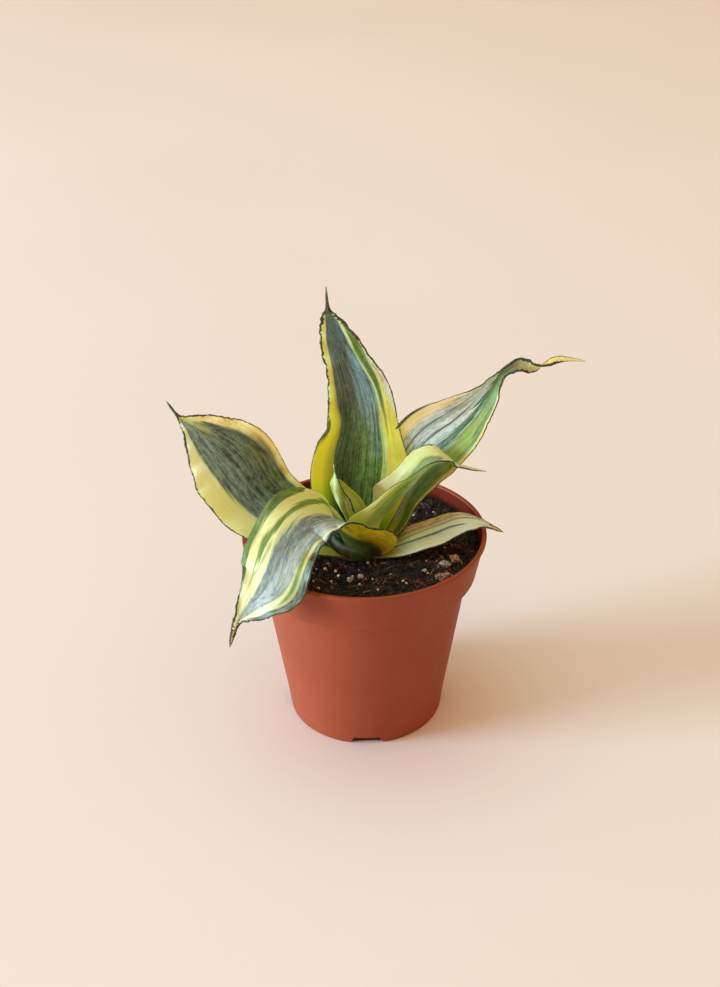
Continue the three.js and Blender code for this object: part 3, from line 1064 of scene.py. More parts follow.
RIGHT_INNER = Leaf(
    name="leaf_right_inner", heading=20, wave=(0.4, 5, 0.6), seed=5,
    stations=(
        (2.5, -6.5, 94, 12, -40, 85), (6.5, -5.5, 110, 19, -40, 85),
        (13.5, -7, 121.5, 17, -25.5, 72.5), (22.5, -4, 130.5, 14, -20, 65),
        (30, -1, 139, 12.1, -8, 50), (36.5, 2, 141.3, 9.3, 0, 30), (41, 4, 139, 5, 0, 10),
        (44.5, 5, 135.5, 2.6, 0, 0), (50.5, 6, 133, 1.6, 0, 0), (59.5, 7, 130.5, 0.6, 0, 0),
    ),
    crimp=Crimp(
        low=((0, 0), (0.3, 0.1), (0.8, 0.2), (1, 0)),
        high=((0, 0), (0.3, 0.1), (0.7, 0.25), (1, 0)),
    ),
    finish=LeafFinish(
        ground=(
            (0, (228, 250, 120)), (0.2, (240, 250, 176)), (0.34, (196, 200, 100)),
            (0.44, (190, 194, 98)), (0.6, (216, 220, 128)), (0.75, (218, 228, 134)),
            (1, (226, 228, 190)),
        ),
        stripes=RIGHT_INNER_STRIPES, under_stripes=RIGHT_INNER_UNDERSIDE,
        rim_low=((0, 0.08), (0.4, 0.12), (0.52, 0.5), (0.66, 0.7), (0.74, 0.3), (1, 0.05)),
        rim_high=((0, 0.08), (0.4, 0.12), (0.5, 0.5), (0.66, 0.8), (0.76, 0.4), (1, 0.1)),
        tip=(
            (0.7, (214, 224, 140)), (0.8, (208, 216, 170)), (0.9, (232, 236, 190)),
            (1, (248, 244, 220)),
        ),
        tip_from=0.76, under_tint=(245, 250, 220), rim=(40, 56, 36),
    ),
)

NEW_SPEAR_STRIPES = (
    Stripe((160, 174, 56), (198, 208, 90), ((0, 0, 0.5), (0.8, 0, 0.5)), soft=0.04),
)
NEW_SPEAR_UNDERSIDE = (
    Stripe((104, 136, 62), (176, 194, 116), ((0, 0.5, 1.3), (0.8, 0.4, 1.3)), soft=0.06),
    Stripe((186, 200, 124), (224, 228, 178), (
        (0, 0.62, 0.74), (0.4, 0.6, 0.78), (0.8, 0.6, 0.7),
    ), soft=0.05, strength=((0, 0.8), (1, 0.8))),
)
NEW_SPEAR = Leaf(
    name="leaf_new_spear", heading=200, wave=(0.3, 3, 0), seed=9,
    stations=(
        (-7, -4, 94, 8, 10, 75), (-7, -3.5, 109.5, 12, -27, 84), (-13, -2, 122, 10.5, -13, 83.5),
        (-14.5, -4.5, 130, 5.5, 11, 51.5), (-13.5, -3, 136, 1.2, 0, 30),
        (-14, -3, 141.5, 0.6, 0, 0),
    ),
    crimp=Crimp(low=((0, 0), (0.5, 0.12), (1, 0)), high=((0, 0), (0.5, 0.12), (1, 0))),
    finish=LeafFinish(
        ground=(
            (0, (170, 182, 50)), (0.4, (180, 192, 60)), (0.7, (150, 168, 60)),
            (1, (190, 190, 120)),
        ),
        stripes=NEW_SPEAR_STRIPES, under_stripes=NEW_SPEAR_UNDERSIDE,
        rim_low=((0, 0.08), (0.6, 0.12), (1, 0.2)),
        rim_high=((0, 0.5), (0.4, 0.6), (0.7, 0.5), (1, 0.2)),
        tip=((0.7, (120, 140, 60)), (0.86, (104, 124, 52)), (1, (190, 190, 120))), tip_from=0.8,
        rim=(34, 46, 30), streak_width=0.8, under_tint=(250, 248, 225),
    ),
)

RIGHT_LONG_STRIPES = (
    # The silvery grey-green middle band: partly the leaf's own silvery tone, partly a painted sheen
    # in its pale bluish-white streaks.
    Stripe((148, 178, 170), (230, 250, 250), (
        (0.08, 0.3, 0.85), (0.2, 0.28, 0.84), (0.32, 0.28, 0.93), (0.42, 0.3, 1.3),
        (0.52, 0.4, 1.3), (0.62, 0.6, 1.3),
    ), soft=0.03),
    Stripe((62, 76, 70), (96, 110, 104), (
        (0.2, 0.56, 0.575), (0.36, 0.59, 0.61), (0.46, 0.66, 0.67),
    ), soft=0.01, ragged=0.01),
    Stripe((84, 100, 94), (110, 124, 118), (
        (0.18, 0.7, 0.72), (0.34, 0.74, 0.76), (0.48, 0.8, 0.81),
    ), soft=0.012, ragged=0.012),
    Stripe((244, 230, 136), (250, 250, 218), (
        (0.05, 0.86, 1.3), (0.2, 0.82, 1.3), (0.28, 0.84, 1.3), (0.36, 0.9, 1.3),
        (0.44, 0.98, 1.3),
    ), soft=0.04),
    Stripe((66, 74, 36), (104, 108, 62), ((0, 0.94, 1.3), (0.22, 0.95, 1.3), (0.33, 1, 1.3))),
    Stripe((82, 120, 54), (136, 162, 102), (
        (0, -0.3, 0.22), (0.2, -0.3, 0.3), (0.34, -0.3, 0.33), (0.4, -0.3, 0.37),
        (0.45, -0.3, 0.45), (0.5, -0.3, 0.55), (0.56, -0.3, 0.7), (0.62, -0.3, 0.9),
    ), soft=0.03, ragged=0.05),
    Stripe((51, 91, 55), (108, 149, 113), (
        (0.2, 0.3, 0.42), (0.3, 0.33, 0.43), (0.36, 0.38, 0.47), (0.42, 0.42, 0.53),
        (0.5, 0.52, 0.62), (0.57, 0.66, 0.7),
    ), soft=0.03, ragged=0.06),
    Stripe((126, 160, 60), (168, 190, 104), (
        (0.24, 0.06, 0.22), (0.29, 0.06, 0.27), (0.33, 0.1, 0.32), (0.36, 0.15, 0.35),
        (0.4, 0.2, 0.32), (0.44, 0.26, 0.28),
    ), soft=0.03, ragged=0.1, strength=((0, 0.85), (1, 0.85))),
    Stripe((192, 188, 84), (216, 212, 140), (
        (0, -0.3, 0.05), (0.3, -0.3, 0.05), (0.5, -0.3, 0.07), (0.6, -0.3, 0.1),
        (0.66, -0.3, 0.02),
    ), ragged=0.01),
)
RIGHT_LONG_UNDERSIDE = (
    Stripe((150, 152, 92), (206, 200, 140), (
        (0.6, 0.1, 0.9), (0.74, 0.1, 0.9), (0.8, 0.3, 0.7),
    ), soft=0.05),
)
RIGHT_LONG = Leaf(
    name="leaf_right_long", heading=25, wave=(0.5, 6, 0.4), seed=12,
    stations=(
        (7, 4.5, 93.5, 10, 16.5, 74), (13, 8.5, 103, 13.5, 29.5, 57.5),
        (18, 13, 117.5, 15, 37, 46), (24.5, 14.5, 131, 17, 50, 38),
        (32.5, 16, 141.2, 18.6, 52, 32), (44.5, 19, 148.9, 15.8, 50, 35),
        (54, 24, 155.4, 11.2, 50, 50), (60.5, 27, 162, 8, 48, 70), (65, 29, 167.5, 5.5, 45, 95),
        (68.5, 30, 172.5, 3.4, 50, 105), (75.5, 31, 176, 3.6, 70, 70),
        (82.5, 31, 175, 3.6, 110, 40), (89, 31, 176, 2.4, 170, 0), (94.5, 32, 178, 1.8, 230, 0),
        (101.5, 32, 178, 0.9, 250, 0), (108, 32, 177, 0.6, 250, 0),
    ),
    crimp=Crimp(
        low=((0, 0), (0.3, 0.1), (0.45, 0.3), (0.6, 0.35), (0.85, 0.3), (1, 0)),
        high=((0, 0), (0.35, 0.1), (0.55, 0.2), (0.62, 0.45), (0.85, 0.35), (1, 0)),
    ),
    finish=LeafFinish(
        ground=(
            (0, (237, 250, 28)), (0.16, (170, 180, 80)), (0.3, (166, 182, 140)),
            (0.5, (150, 168, 140)), (0.66, (120, 130, 84)), (0.9, (150, 146, 84)),
        ),
        stripes=RIGHT_LONG_STRIPES, under_stripes=RIGHT_LONG_UNDERSIDE,
        rim_low=(
            (0, 0.12), (0.45, 0.25), (0.6, 0.5), (0.75, 0.9), (0.86, 0.5), (0.93, 0.2), (1, 0.05),
        ),
        rim_high=(
            (0, 0.1), (0.5, 0.1), (0.58, 0.25), (0.64, 0.9), (0.78, 1.1), (0.88, 0.5), (0.94, 0.2),
            (1, 0.05),
        ),
        tip=(
            (0.62, (130, 146, 96)), (0.72, (186, 184, 122)), (0.79, (236, 214, 96)),
            (0.85, (222, 206, 110)), (0.93, (228, 222, 136)), (1, (248, 242, 210)),
        ),
        tip_from=0.66, rim=(38, 46, 34), streak_width=0.8, streak_length=40,
    ),
)

BACK_TALL_STRIPES = (
    Stripe((194, 206, 81), (244, 250, 151), (
        (0.1, -0.3, 0.25), (0.3, -0.3, 0.25), (0.45, -0.3, 0.2), (0.66, -0.3, 0.1),
    ), soft=0.05, strength=((0, 0.3), (0.35, 0.4), (0.5, 0.9), (1, 0.9))),
    Stripe((168, 191, 125), (243, 250, 250), (
        (0.44, -0.3, 0.04), (0.5, -0.3, 0.11), (0.57, -0.3, 0.12), (0.64, -0.3, 0.05),
        (0.7, -0.3, -0.05),
    ), soft=0.03),
    Stripe((28, 52, 44), (106, 142, 128), (
        (0, 0.28, 0.7), (0.2, 0.27, 0.73), (0.3, 0.255, 0.78), (0.4, 0.26, 0.8),
        (0.5, 0.265, 0.84), (0.59, 0.26, 0.86), (0.67, 0.245, 0.815), (0.72, 0.23, 0.77),
        (0.77, 0.21, 0.7), (0.83, 0.2, 0.69), (0.87, 0.26, 0.66), (0.89, 0.4, 0.56),
    ), soft=0.014, ragged=0.015),
    Stripe((38, 84, 30), (136, 182, 100), (
        (0, 0.29, 0.7), (0.2, 0.28, 0.72), (0.3, 0.265, 0.77), (0.42, 0.27, 0.79), (0.5, 0.3, 0.8),
    ), soft=0.02, strength=((0, 1), (0.3, 0.9), (0.45, 0.4), (0.52, 0), (1, 0))),
    Stripe((12, 38, 10), (54, 86, 30), (
        (0.1, 0.52, 0.8), (0.3, 0.56, 0.8), (0.45, 0.62, 0.83), (0.56, 0.7, 0.85),
    ), soft=0.11, strength=((0, 0.75), (0.45, 0.8), (0.56, 0.4), (1, 0))),
    Stripe((81, 124, 124), (167, 215, 227), (
        (0.3, 0.28, 0.36), (0.42, 0.27, 0.44), (0.52, 0.27, 0.5), (0.6, 0.26, 0.5),
        (0.65, 0.27, 0.36),
    ), soft=0.06, ragged=0.08,
        strength=((0, 0.3), (0.35, 0.35), (0.5, 0.75), (0.62, 0.75), (1, 0.2))),
    Stripe((38, 50, 30), (104, 118, 90), (
        (0.2, 0.6, 0.79), (0.42, 0.56, 0.8), (0.55, 0.52, 0.85), (0.7, 0.4, 0.79), (0.8, 0.3, 0.7),
    ), soft=0.1, strength=((0, 0), (0.45, 0.1), (0.52, 0.7), (0.6, 0.6), (0.68, 0.35), (1, 0.3))),
    Stripe((66, 78, 22), (110, 120, 44), (
        (0.77, 0.2, 0.7), (0.83, 0.21, 0.69), (0.89, 0.35, 0.56),
    ), soft=0.03, strength=((0, 0), (0.76, 0), (0.82, 0.75), (1, 0.9))),
    Stripe((62, 100, 36), (132, 170, 84), (
        (0.37, 0.165, 0.17), (0.42, 0.165, 0.185), (0.48, 0.16, 0.21), (0.55, 0.12, 0.23),
        (0.62, 0.07, 0.235), (0.68, 0.03, 0.18), (0.75, 0, 0.11), (0.82, -0.02, 0.08),
        (0.88, 0, 0.04),
    ), ragged=0.012),
    Stripe((153, 203, 111), (223, 250, 198), (
        (0.1, 0.24, 0.265), (0.3, 0.215, 0.25), (0.45, 0.205, 0.25), (0.56, 0.23, 0.255),
        (0.6, 0.245, 0.25),
    ), soft=0.012, ragged=0.012),
    Stripe((167, 197, 117), (217, 240, 188), (
        (0.61, 0.245, 0.265), (0.66, 0.205, 0.27), (0.72, 0.13, 0.235), (0.8, 0.09, 0.2),
        (0.87, 0.12, 0.25),
    ), soft=0.012, ragged=0.012),
    Stripe((64, 92, 34), (104, 132, 62), (
        (0.27, 1, 1.3), (0.32, 0.985, 1.3), (0.37, 0.96, 1.3), (0.41, 0.955, 1.3),
        (0.44, 0.985, 1.3),
    )),
)
BACK_TALL = Leaf(
    name="leaf_back_tall", heading=100, wave=(0.7, 9, 1.3), seed=16,
    stations=(
        (-4, 5.5, 94, 14, 0, 75), (-4, 7, 105, 18.5, 0, 55), (-3.5, 9.5, 119.5, 24, 0, 30),
        (-2, 12.5, 136.5, 24, 0, 18), (-0.6, 15.5, 152, 17.9, 0, 12), (-2.1, 18, 168, 15.6, 0, 10),
        (-7, 20, 183, 11.2, -5, 10), (-12.5, 21.5, 196.5, 8.2, -8, 12),
        (-15.5, 22.5, 205.5, 4.4, -8, 15), (-16, 23, 210, 1.1, 0, 10),
        (-16.5, 22.5, 220.5, 0.6, 0, 5),
    ),
    crimp=Crimp(
        low=((0, 0), (0.35, 0.05), (0.5, 0.28), (0.85, 0.4), (0.9, 0.1), (1, 0)),
        high=((0, 0), (0.3, 0.05), (0.45, 0.3), (0.6, 0.5), (0.85, 0.5), (0.9, 0.1), (1, 0)),
        scallop_high=((0, 0), (0.5, 0.1), (0.65, 0.5), (0.8, 0.4), (0.9, 0), (1, 0)),
    ),
    finish=LeafFinish(
        ground=(
            (0, (150, 200, 40)), (0.14, (170, 216, 48)), (0.24, (250, 250, 64)),
            (0.4, (227, 238, 41)), (0.55, (212, 218, 116)), (0.72, (216, 220, 135)),
            (0.88, (190, 186, 84)),
        ),
        stripes=BACK_TALL_STRIPES,
        rim_low=(
            (0, 0.08), (0.3, 0.15), (0.45, 0.4), (0.55, 0.6), (0.68, 0.9), (0.76, 1.6),
            (0.86, 1.7), (0.92, 0.8), (1, 0.2),
        ),
        rim_high=(
            (0, 0.08), (0.25, 0.2), (0.35, 0.3), (0.5, 0.6), (0.65, 0.8), (0.72, 1.2), (0.84, 1.5),
            (0.92, 0.8), (1, 0.2),
        ),
        tip=(
            (0.88, (150, 152, 60)), (0.905, (84, 98, 58)), (0.95, (86, 104, 82)),
            (1, (210, 210, 130)),
        ),
        tip_from=0.9, streak_width=0.75, streak_length=32,
    ),
)

RIGHT_LOW_STRIPES = (
    Stripe((140, 140, 84), (226, 222, 172), (
        (0, 0.72, 1.3), (0.3, 0.73, 1.3), (0.5, 0.77, 1.3), (0.65, 0.84, 1.3), (0.76, 0.96, 1.3),
    ), soft=0.03),
    Stripe((110, 129, 83), (160, 181, 151), (
        (0.1, 0.65, 0.7), (0.35, 0.665, 0.71), (0.55, 0.69, 0.74), (0.7, 0.72, 0.8),
        (0.8, 0.7, 0.76),
    ), soft=0.03),
    Stripe((153, 205, 225), (216, 250, 250), (
        (0.1, 0.36, 0.46), (0.35, 0.36, 0.47), (0.52, 0.38, 0.48), (0.6, 0.38, 0.42),
    ), soft=0.05, strength=((0, 0.7), (1, 0.7))),
    Stripe((45, 77, 80), (122, 161, 164), (
        (0.06, 0.45, 0.495), (0.2, 0.435, 0.495), (0.36, 0.445, 0.515), (0.48, 0.455, 0.52),
        (0.58, 0.41, 0.45), (0.64, 0.385, 0.4),
    ), soft=0.014, ragged=0.02),
    Stripe((120, 140, 124), (156, 170, 152), (
        (0.6, 0.9, 0.96), (0.72, 0.86, 1.02), (0.82, 0.86, 1.3),
    ), soft=0.03),
)
RIGHT_LOW = Leaf(
    name="leaf_right_low", heading=5, wave=(0.5, 4, 0.8), seed=21,
    stations=(
        (4.5, -9, 95, 9, 12.5, 61), (14, -9, 96.5, 9.5, -0.5, 18),
        (23.5, -8.5, 100.5, 10.5, 8, 16.5), (35.5, -6, 103.5, 10.5, 7, 19),
        (46.5, -4.5, 107.5, 8.5, 10.5, 13.5), (55.5, -4, 108, 4, 10, 10),
        (61, -3, 105.5, 1.5, 40, 5), (68, -3, 102, 0.6, 40, 5),
    ),
    crimp=Crimp(
        low=((0, 0), (0.3, 0.08), (0.6, 0.25), (0.9, 0.1), (1, 0)),
        high=((0, 0), (0.4, 0.06), (0.7, 0.15), (0.9, 0.1), (1, 0)),
    ),
    finish=LeafFinish(
        # From the base the ground is olive brown: partly the base's own dry brown, partly painted
        # shade near the soil.
        ground=(
            (0, (96, 88, 34)), (0.14, (153, 162, 81)), (0.3, (226, 250, 205)),
            (0.6, (226, 250, 226)), (0.8, (209, 221, 184)),
        ),
        stripes=RIGHT_LOW_STRIPES, rim_low=((0, 0.15), (0.6, 0.2), (0.8, 0.5), (1, 0.15)),
        rim_high=((0, 0.2), (0.6, 0.3), (0.8, 0.8), (0.92, 0.7), (1, 0.15)),
        tip=((0.78, (200, 196, 150)), (0.9, (196, 178, 128)), (1, (220, 206, 168))), tip_from=0.86,
        streak_width=0.8, streak_length=34, rim=(52, 54, 38),
    ),
)

LEFT_STRIPES = (
    Stripe((222, 206, 112), (250, 248, 184), (
        (0.1, -0.3, 0.06), (0.35, -0.3, 0.07), (0.5, -0.3, 0.13), (0.6, -0.3, 0.19),
        (0.7, -0.3, 0.24), (0.8, -0.3, 0.16),
    ), soft=0.03, strength=((0, 0.8), (0.7, 0.9), (0.82, 0.3), (1, 0))),
    Stripe((38, 56, 42), (122, 154, 132), (
        (0, 0.1, 0.72), (0.2, 0.08, 0.7), (0.33, 0.06, 0.705), (0.42, 0.07, 0.725),
        (0.5, 0.11, 0.74), (0.6, 0.17, 0.76), (0.68, 0.2, 0.77), (0.73, 0.225, 0.775),
        (0.78, 0.34, 0.77), (0.84, 0.47, 0.73), (0.885, 0.58, 0.62),
    ), soft=0.035),
    Stripe((164, 182, 116), (230, 240, 160), (
        (0.6, 0.36, 0.365), (0.66, 0.33, 0.385), (0.72, 0.28, 0.43), (0.78, 0.25, 0.5),
        (0.84, 0.28, 0.56),
    ), soft=0.06, ragged=0.05, strength=((0, 0.8), (1, 0.8))),
    Stripe((66, 84, 46), (124, 138, 78), (
        (0.2, 0.05, 0.3), (0.4, 0.06, 0.3), (0.55, 0.14, 0.32), (0.64, 0.2, 0.3),
    ), soft=0.08, ragged=0.06, strength=((0, 0.7), (0.5, 0.6), (0.66, 0), (1, 0))),
    Stripe((107, 138, 135), (185, 219, 213), (
        (0.2, 0.5, 0.72), (0.4, 0.52, 0.73), (0.6, 0.5, 0.76), (0.75, 0.46, 0.77),
        (0.85, 0.5, 0.72),
    ), soft=0.1, ragged=0.08,
        strength=((0, 0.3), (0.6, 0.35), (0.78, 0.6), (0.86, 0.25), (1, 0.2))),
    Stripe((44, 50, 36), (78, 84, 62), (
        (0.62, 1, 1.3), (0.66, 0.97, 1.3), (0.7, 0.94, 1.3), (0.77, 0.93, 1.3), (0.84, 0.95, 1.3),
        (0.88, 0.98, 1.3),
    ), ragged=0.012),
)
LEFT = Leaf(
    name="leaf_left", heading=172, wave=(0.8, 8, 1.7), seed=27,
    stations=(
        (-9.5, -7.5, 95, 10, -15, 70), (-22.5, -8, 105, 16, -28, 45),
        (-38.5, -5.5, 113.5, 18, -45, 22), (-52, -2.5, 123.5, 20.5, -54.5, 9),
        (-63.5, 1, 141, 21.5, -58, 8), (-73, 3, 151, 15, -58, 8), (-80.5, 4, 158, 7.5, -55, 10),
        (-87, 5, 163, 1.2, -50, 5), (-92.5, 6, 171, 0.6, -50, 5),
    ),
    crimp=Crimp(
        low=((0, 0), (0.45, 0.05), (0.58, 0.35), (0.84, 0.5), (0.9, 0.1), (1, 0)),
        high=((0, 0), (0.3, 0.15), (0.6, 0.2), (0.84, 0.35), (0.9, 0.1), (1, 0)),
    ),
    finish=LeafFinish(
        ground=(
            (0, (156, 166, 50)), (0.2, (236, 240, 136)), (0.4, (238, 250, 178)),
            (0.6, (236, 250, 198)), (0.75, (234, 250, 212)), (0.87, (204, 198, 88)),
        ),
        stripes=LEFT_STRIPES,
        rim_low=((0, 0.2), (0.45, 0.25), (0.6, 0.5), (0.75, 0.75), (0.87, 0.9), (1, 0.2)),
        rim_high=((0, 0.3), (0.4, 0.5), (0.6, 0.65), (0.87, 0.9), (1, 0.2)),
        tip=(
            (0.86, (190, 184, 80)), (0.9, (66, 74, 44)), (0.96, (78, 86, 60)),
            (1, (214, 206, 130)),
        ),
        tip_from=0.885, streak_width=1.2, streak_length=16, mottle=0.38,
    ),
)

LEAVES = (FRONT_ARCHING, RIGHT_INNER, NEW_SPEAR, RIGHT_LONG, BACK_TALL, RIGHT_LOW, LEFT)


# ------------------------------------------------------------------ pot


@dataclass(frozen=True)
class PotPlastic:
    """Matt terracotta-coloured plastic.

    Attributes:
        body: Its colour.
        worn: Colour of the faint rubbed and dusty places.
        deep: Colour of the thicker, darker places.
        inside: Colour of the inside above the soil, darker than the body as painted shade of the
            leaves over it, and dull with dust.
        earth_and_shade: Colour of the damp earth that clings to the inside, also used as painted
            shade on the underside.
        clouds: How many clouds of tone fit in a metre.
        dust: How many specks of dust fit in a metre.
        grain: How many grains of the moulded surface fit in a metre.
        gloss: How much of the light the outside mirrors, where 0.5 is common.
        gloss_inside: The same for the dusty inside.
        worn_height: Height in millimetres up to which the foot is rubbed.
        underside: Radii in millimetres between which the underside's painted shade ends.
        underside_height: Height in millimetres below which the underside is painted dark as shade.
        soil_line: Heights in millimetres between which the inside's dirt ends.
    """

    body: Colour = (147, 66, 35)
    worn: Colour = (160, 79, 46)
    deep: Colour = (143, 62, 32)
    # Painted shade: the inside is darker than the body, as the leaves shade it.
    inside: Colour = (104, 40, 24)
    earth_and_shade: Colour = (46, 24, 16)
    clouds: float = 28.0
    dust: float = 420.0
    grain: float = 2600.0
    gloss: float = 0.3
    gloss_inside: float = 0.03
    worn_height: float = 18.0
    underside: tuple[float, float] = (37.6, 38.4)
    underside_height: float = 4.6
    soil_line: tuple[float, float] = (91.5, 95.5)

    def dress(self) -> Material:
        """Makes the material of the outside.

        Returns:
            The material.
        """
        palette, place, height, dust = self._start("pot_plastic")
        cloud = palette.noise(place, self.clouds, 3.0)
        colour = palette.mix(palette.spread(cloud, 0.35, 0.65), paint(self.deep), paint(self.body))
        colour = palette.mix(palette.spread(dust, 0.56, 0.78, 0.0, 0.35), colour, paint(self.worn))
        low = palette.spread(height, 0.0, self.worn_height * MM, 0.22, 0.0)
        colour = palette.mix(palette.times(low, cloud), colour, paint(self.worn))
        # Painted shade: the underside behind the foot is darkened, where the pot stands in its own
        # shadow.
        colour = palette.mix(self._underside_shade(palette, place, height), colour, paint(self.earth_and_shade))
        return palette.finish(
            colour,
            palette.spread(dust, 0.3, 0.75, 0.5, 0.64),
            Normal=palette.bump(
                palette.noise(place, self.grain, 2.0), 0.03, 0.5, palette.bump(cloud, 0.6, 0.35)
            ),
            Specular_IOR_Level=self.gloss,
        )

    def dress_inside(self) -> Material:
        """Makes the material of the inside above the soil, darker than the outside as painted
        shade.

        Returns:
            The material.
        """
        palette, _, height, dust = self._start("pot_plastic_inside")
        level = palette.math("ADD", height, palette.times(dust, -6 * MM))
        low, high = self.soil_line
        cover = palette.spread(level, low * MM, high * MM, 1.0, 0.0)
        # The inside's colour is painted shade of the leaves; towards the soil it takes the earth
        # colour.
        return palette.finish(
            palette.mix(cover, paint(self.inside), paint(self.earth_and_shade)),
            0.95,
            Normal=palette.bump(dust, 0.1, 0.5),
            Specular_IOR_Level=self.gloss_inside,
        )

    def _start(self, name: str) -> tuple[Palette, NodeSocket, NodeSocket, NodeSocket]:
        """Starts a material of the plastic.

        Args:
            name: The material's name.

        Returns:
            The material's nodes, the place on the pot, its height and the dust there.
        """
        palette = Palette(name)
        place = palette.place()
        height = palette.add("SeparateXYZ", {0: place}).outputs[2]
        dust = palette.noise(palette.stretch(place, (1, 1, 0.4)), self.dust, 4.0, 0.7)
        return palette, place, height, dust

    def _underside_shade(self, palette: Palette, place: NodeSocket, height: NodeSocket) -> NodeSocket:
        """Works out where the underside is painted dark as shade, behind the foot's outer face.

        Args:
            palette: The material.
            place: The place on the pot.
            height: Its height.

        Returns:
            The painted shade's cover, from 0 to 1.
        """
        flat = palette.add("VectorMath", {0: place, 1: (1, 1, 0)}, operation="MULTIPLY").outputs[0]
        radius = palette.add("VectorMath", {0: flat}, operation="LENGTH").outputs["Value"]
        low, high = self.underside
        behind = palette.spread(radius, low * MM, high * MM, 0.85, 0.0)
        below = palette.math("LESS_THAN", height, self.underside_height * MM)
        return palette.times(behind, below)


@dataclass(frozen=True)
class Pot:
    """The nursery pot: a tapered shell with a collar, a raised foot plate, notches and drain holes.

    Attributes:
        rim_radius: Outer radius of the lip.
        height: Height over all.
        lip_width: Width of the lip's top.
        lip_drop: Height of the lip's band.
        collar_top: Outer radius of the collar under the lip.
        collar_bottom: Outer radius at the collar's lower edge.
        collar_height: Height of that edge over the floor.
        shoulder_radius: Outer radius of the body under the collar.
        shoulder_height: Height of the body's top.
        foot_radius: Outer radius of the foot.
        foot_height: Height of the faint step above the foot.
        wall: Wall thickness.
        steps: Faces around.
        plate_radius: Radius of the base's flat middle, which stands on the floor.
        channel_height: Height of the channel around it.
        ring_inner: Inner radius of the foot ring around the channel.
        notch_bottom: Width of a notch of the foot at the floor.
        notch_top: Its width at the top.
        notch_height: Its height.
        notch_depth: Its depth.
        notch_count: How many notches there are.
        hole_radius: Radius of a drain hole.
        hole_circle: Radius of the circle that the drain holes stand on.
        hole_count: How many drain holes there are.
    """

    rim_radius: float = 60.0
    height: float = 102.0
    lip_width: float = 2.2
    lip_drop: float = 1.5
    collar_top: float = 59.0
    collar_bottom: float = 55.3
    collar_height: float = 80.8
    shoulder_radius: float = 51.0
    shoulder_height: float = 79.2
    foot_radius: float = 39.0
    foot_height: float = 7.2
    wall: float = 1.2
    steps: int = 160
    plate_radius: float = 22.0
    channel_height: float = 3.2
    ring_inner: float = 35.0
    notch_bottom: float = 17.0
    notch_top: float = 12.5
    notch_height: float = 4.2
    notch_depth: float = 2.5
    notch_count: int = 4
    hole_radius: float = 3.0
    hole_circle: float = 29.5
    hole_count: int = 8

    def _corners(self) -> list[tuple[float, float, float]]:
        """Lists the outline's corners, from the bottom's middle round the outside to the inside.

        Returns:
            Radius, height and rounding of each.
        """
        floor = self.channel_height + self.wall
        lip = self.rim_radius
        return [
            (0, 0, 0),
            (self.plate_radius, 0, 0.4),
            (self.plate_radius + 2, self.channel_height, 0.6),
            (self.ring_inner, self.channel_height, 0.5),
            (self.ring_inner + 0.4, 0, 0.3),
            (self.foot_radius, 0, 0.9),
            (self.foot_radius + 0.93, self.foot_height - 0.25, 0.6),
            (self.foot_radius + 0.82, self.foot_height, 0.3),
            (self.shoulder_radius, self.shoulder_height, 0.5),
            (self.collar_bottom - 0.6, self.collar_height, 0.5),
            (self.collar_bottom, self.collar_height + 0.9, 0.5),
            (self.collar_top, self.height - self.lip_drop - 0.3, 0.3),
            (lip, self.height - self.lip_drop, 0.35),
            (lip, self.height, 0.6),
            (lip - self.lip_width, self.height, 0.6),
            (self.collar_bottom - self.wall, self.collar_height + 2, 1.5),
            (self.shoulder_radius - self.wall, self.shoulder_height - 0.6, 1.0),
            (self.foot_radius - self.wall, floor, 1.2),
            (self.plate_radius + 1.2, floor, 0.4),
            (self.plate_radius - 0.8, self.wall, 0.4),
            (0, self.wall, 0),
        ]

    def _rounded(self) -> list[Vector]:
        """Rounds the outline's corners with short arcs.

        Returns:
            The outline's points, in the plane of x and z.
        """
        corners = [(Vector((radius, 0, height)), arc) for radius, height, arc in self._corners()]
        points = [corners[0][0]]
        for (before, _), (place, arc), (after, _) in zip(corners, corners[1:], corners[2:]):
            back, ahead = before - place, after - place
            reach = min(arc, back.length * 0.45, ahead.length * 0.45)
            start = place + back.normalized() * reach
            end = place + ahead.normalized() * reach
            for share in (0.0, 0.25, 0.5, 0.75, 1.0):
                keep = 1 - share
                points.append(start * keep * keep + place * 2 * keep * share + end * share * share)
        return [*points, corners[-1][0]]

    def build(self) -> None:
        """Models the pot and dresses it."""
        piece = start_piece("nursery_pot", bpy.ops.mesh.primitive_plane_add, size=MM)
        with editing():
            bpy.ops.mesh.merge(type="CENTER")
            points = self._rounded()
            for start, end in zip(points, points[1:]):
                step = (end - start) * MM
                bpy.ops.mesh.extrude_region_move(TRANSFORM_OT_translate={"value": step[:]})
            bpy.ops.mesh.select_all(action="SELECT")
            bpy.ops.mesh.spin(steps=self.steps, angle=2 * math.pi, center=(0, 0, 0), axis=(0, 0, 1))
            bpy.ops.mesh.select_all(action="SELECT")
            bpy.ops.mesh.remove_doubles(threshold=0.00001)
            bpy.ops.mesh.normals_make_consistent(inside=False)
        for cutter in self._cutters():
            apply_modifier(piece, "BOOLEAN", operation="DIFFERENCE", object=cutter, solver="EXACT")
            bpy.data.objects.remove(cutter, do_unlink=True)
        take_up(piece)
        bpy.ops.object.shade_smooth_by_angle(angle=math.radians(32))
        piece.data.materials.clear()
        piece.data.materials.append(PotPlastic().dress())
        piece.data.materials.append(PotPlastic().dress_inside())
        self._mark_inside(piece)
        seat(piece, "pot_plastic", "pot")

    def _mark_inside(self, piece: Object) -> None:
        """Gives the inside of the wall above the soil its own finish, darker as painted shade.

        Args:
            piece: The pot.
        """
        faces = piece.data.polygons
        middles = np.empty(len(faces) * 3)
        faces.foreach_get("center", middles)
        x, y, z = middles.reshape(-1, 3).T / MM
        limit = np.array([self.inner_radius(height) for height in z]) + self.lip_width / 4
        above = (z > self.collar_height + 2) & (z < self.height - 0.5)
        faces.foreach_set("material_index", (above & (np.hypot(x, y) < limit)).astype(np.int32))

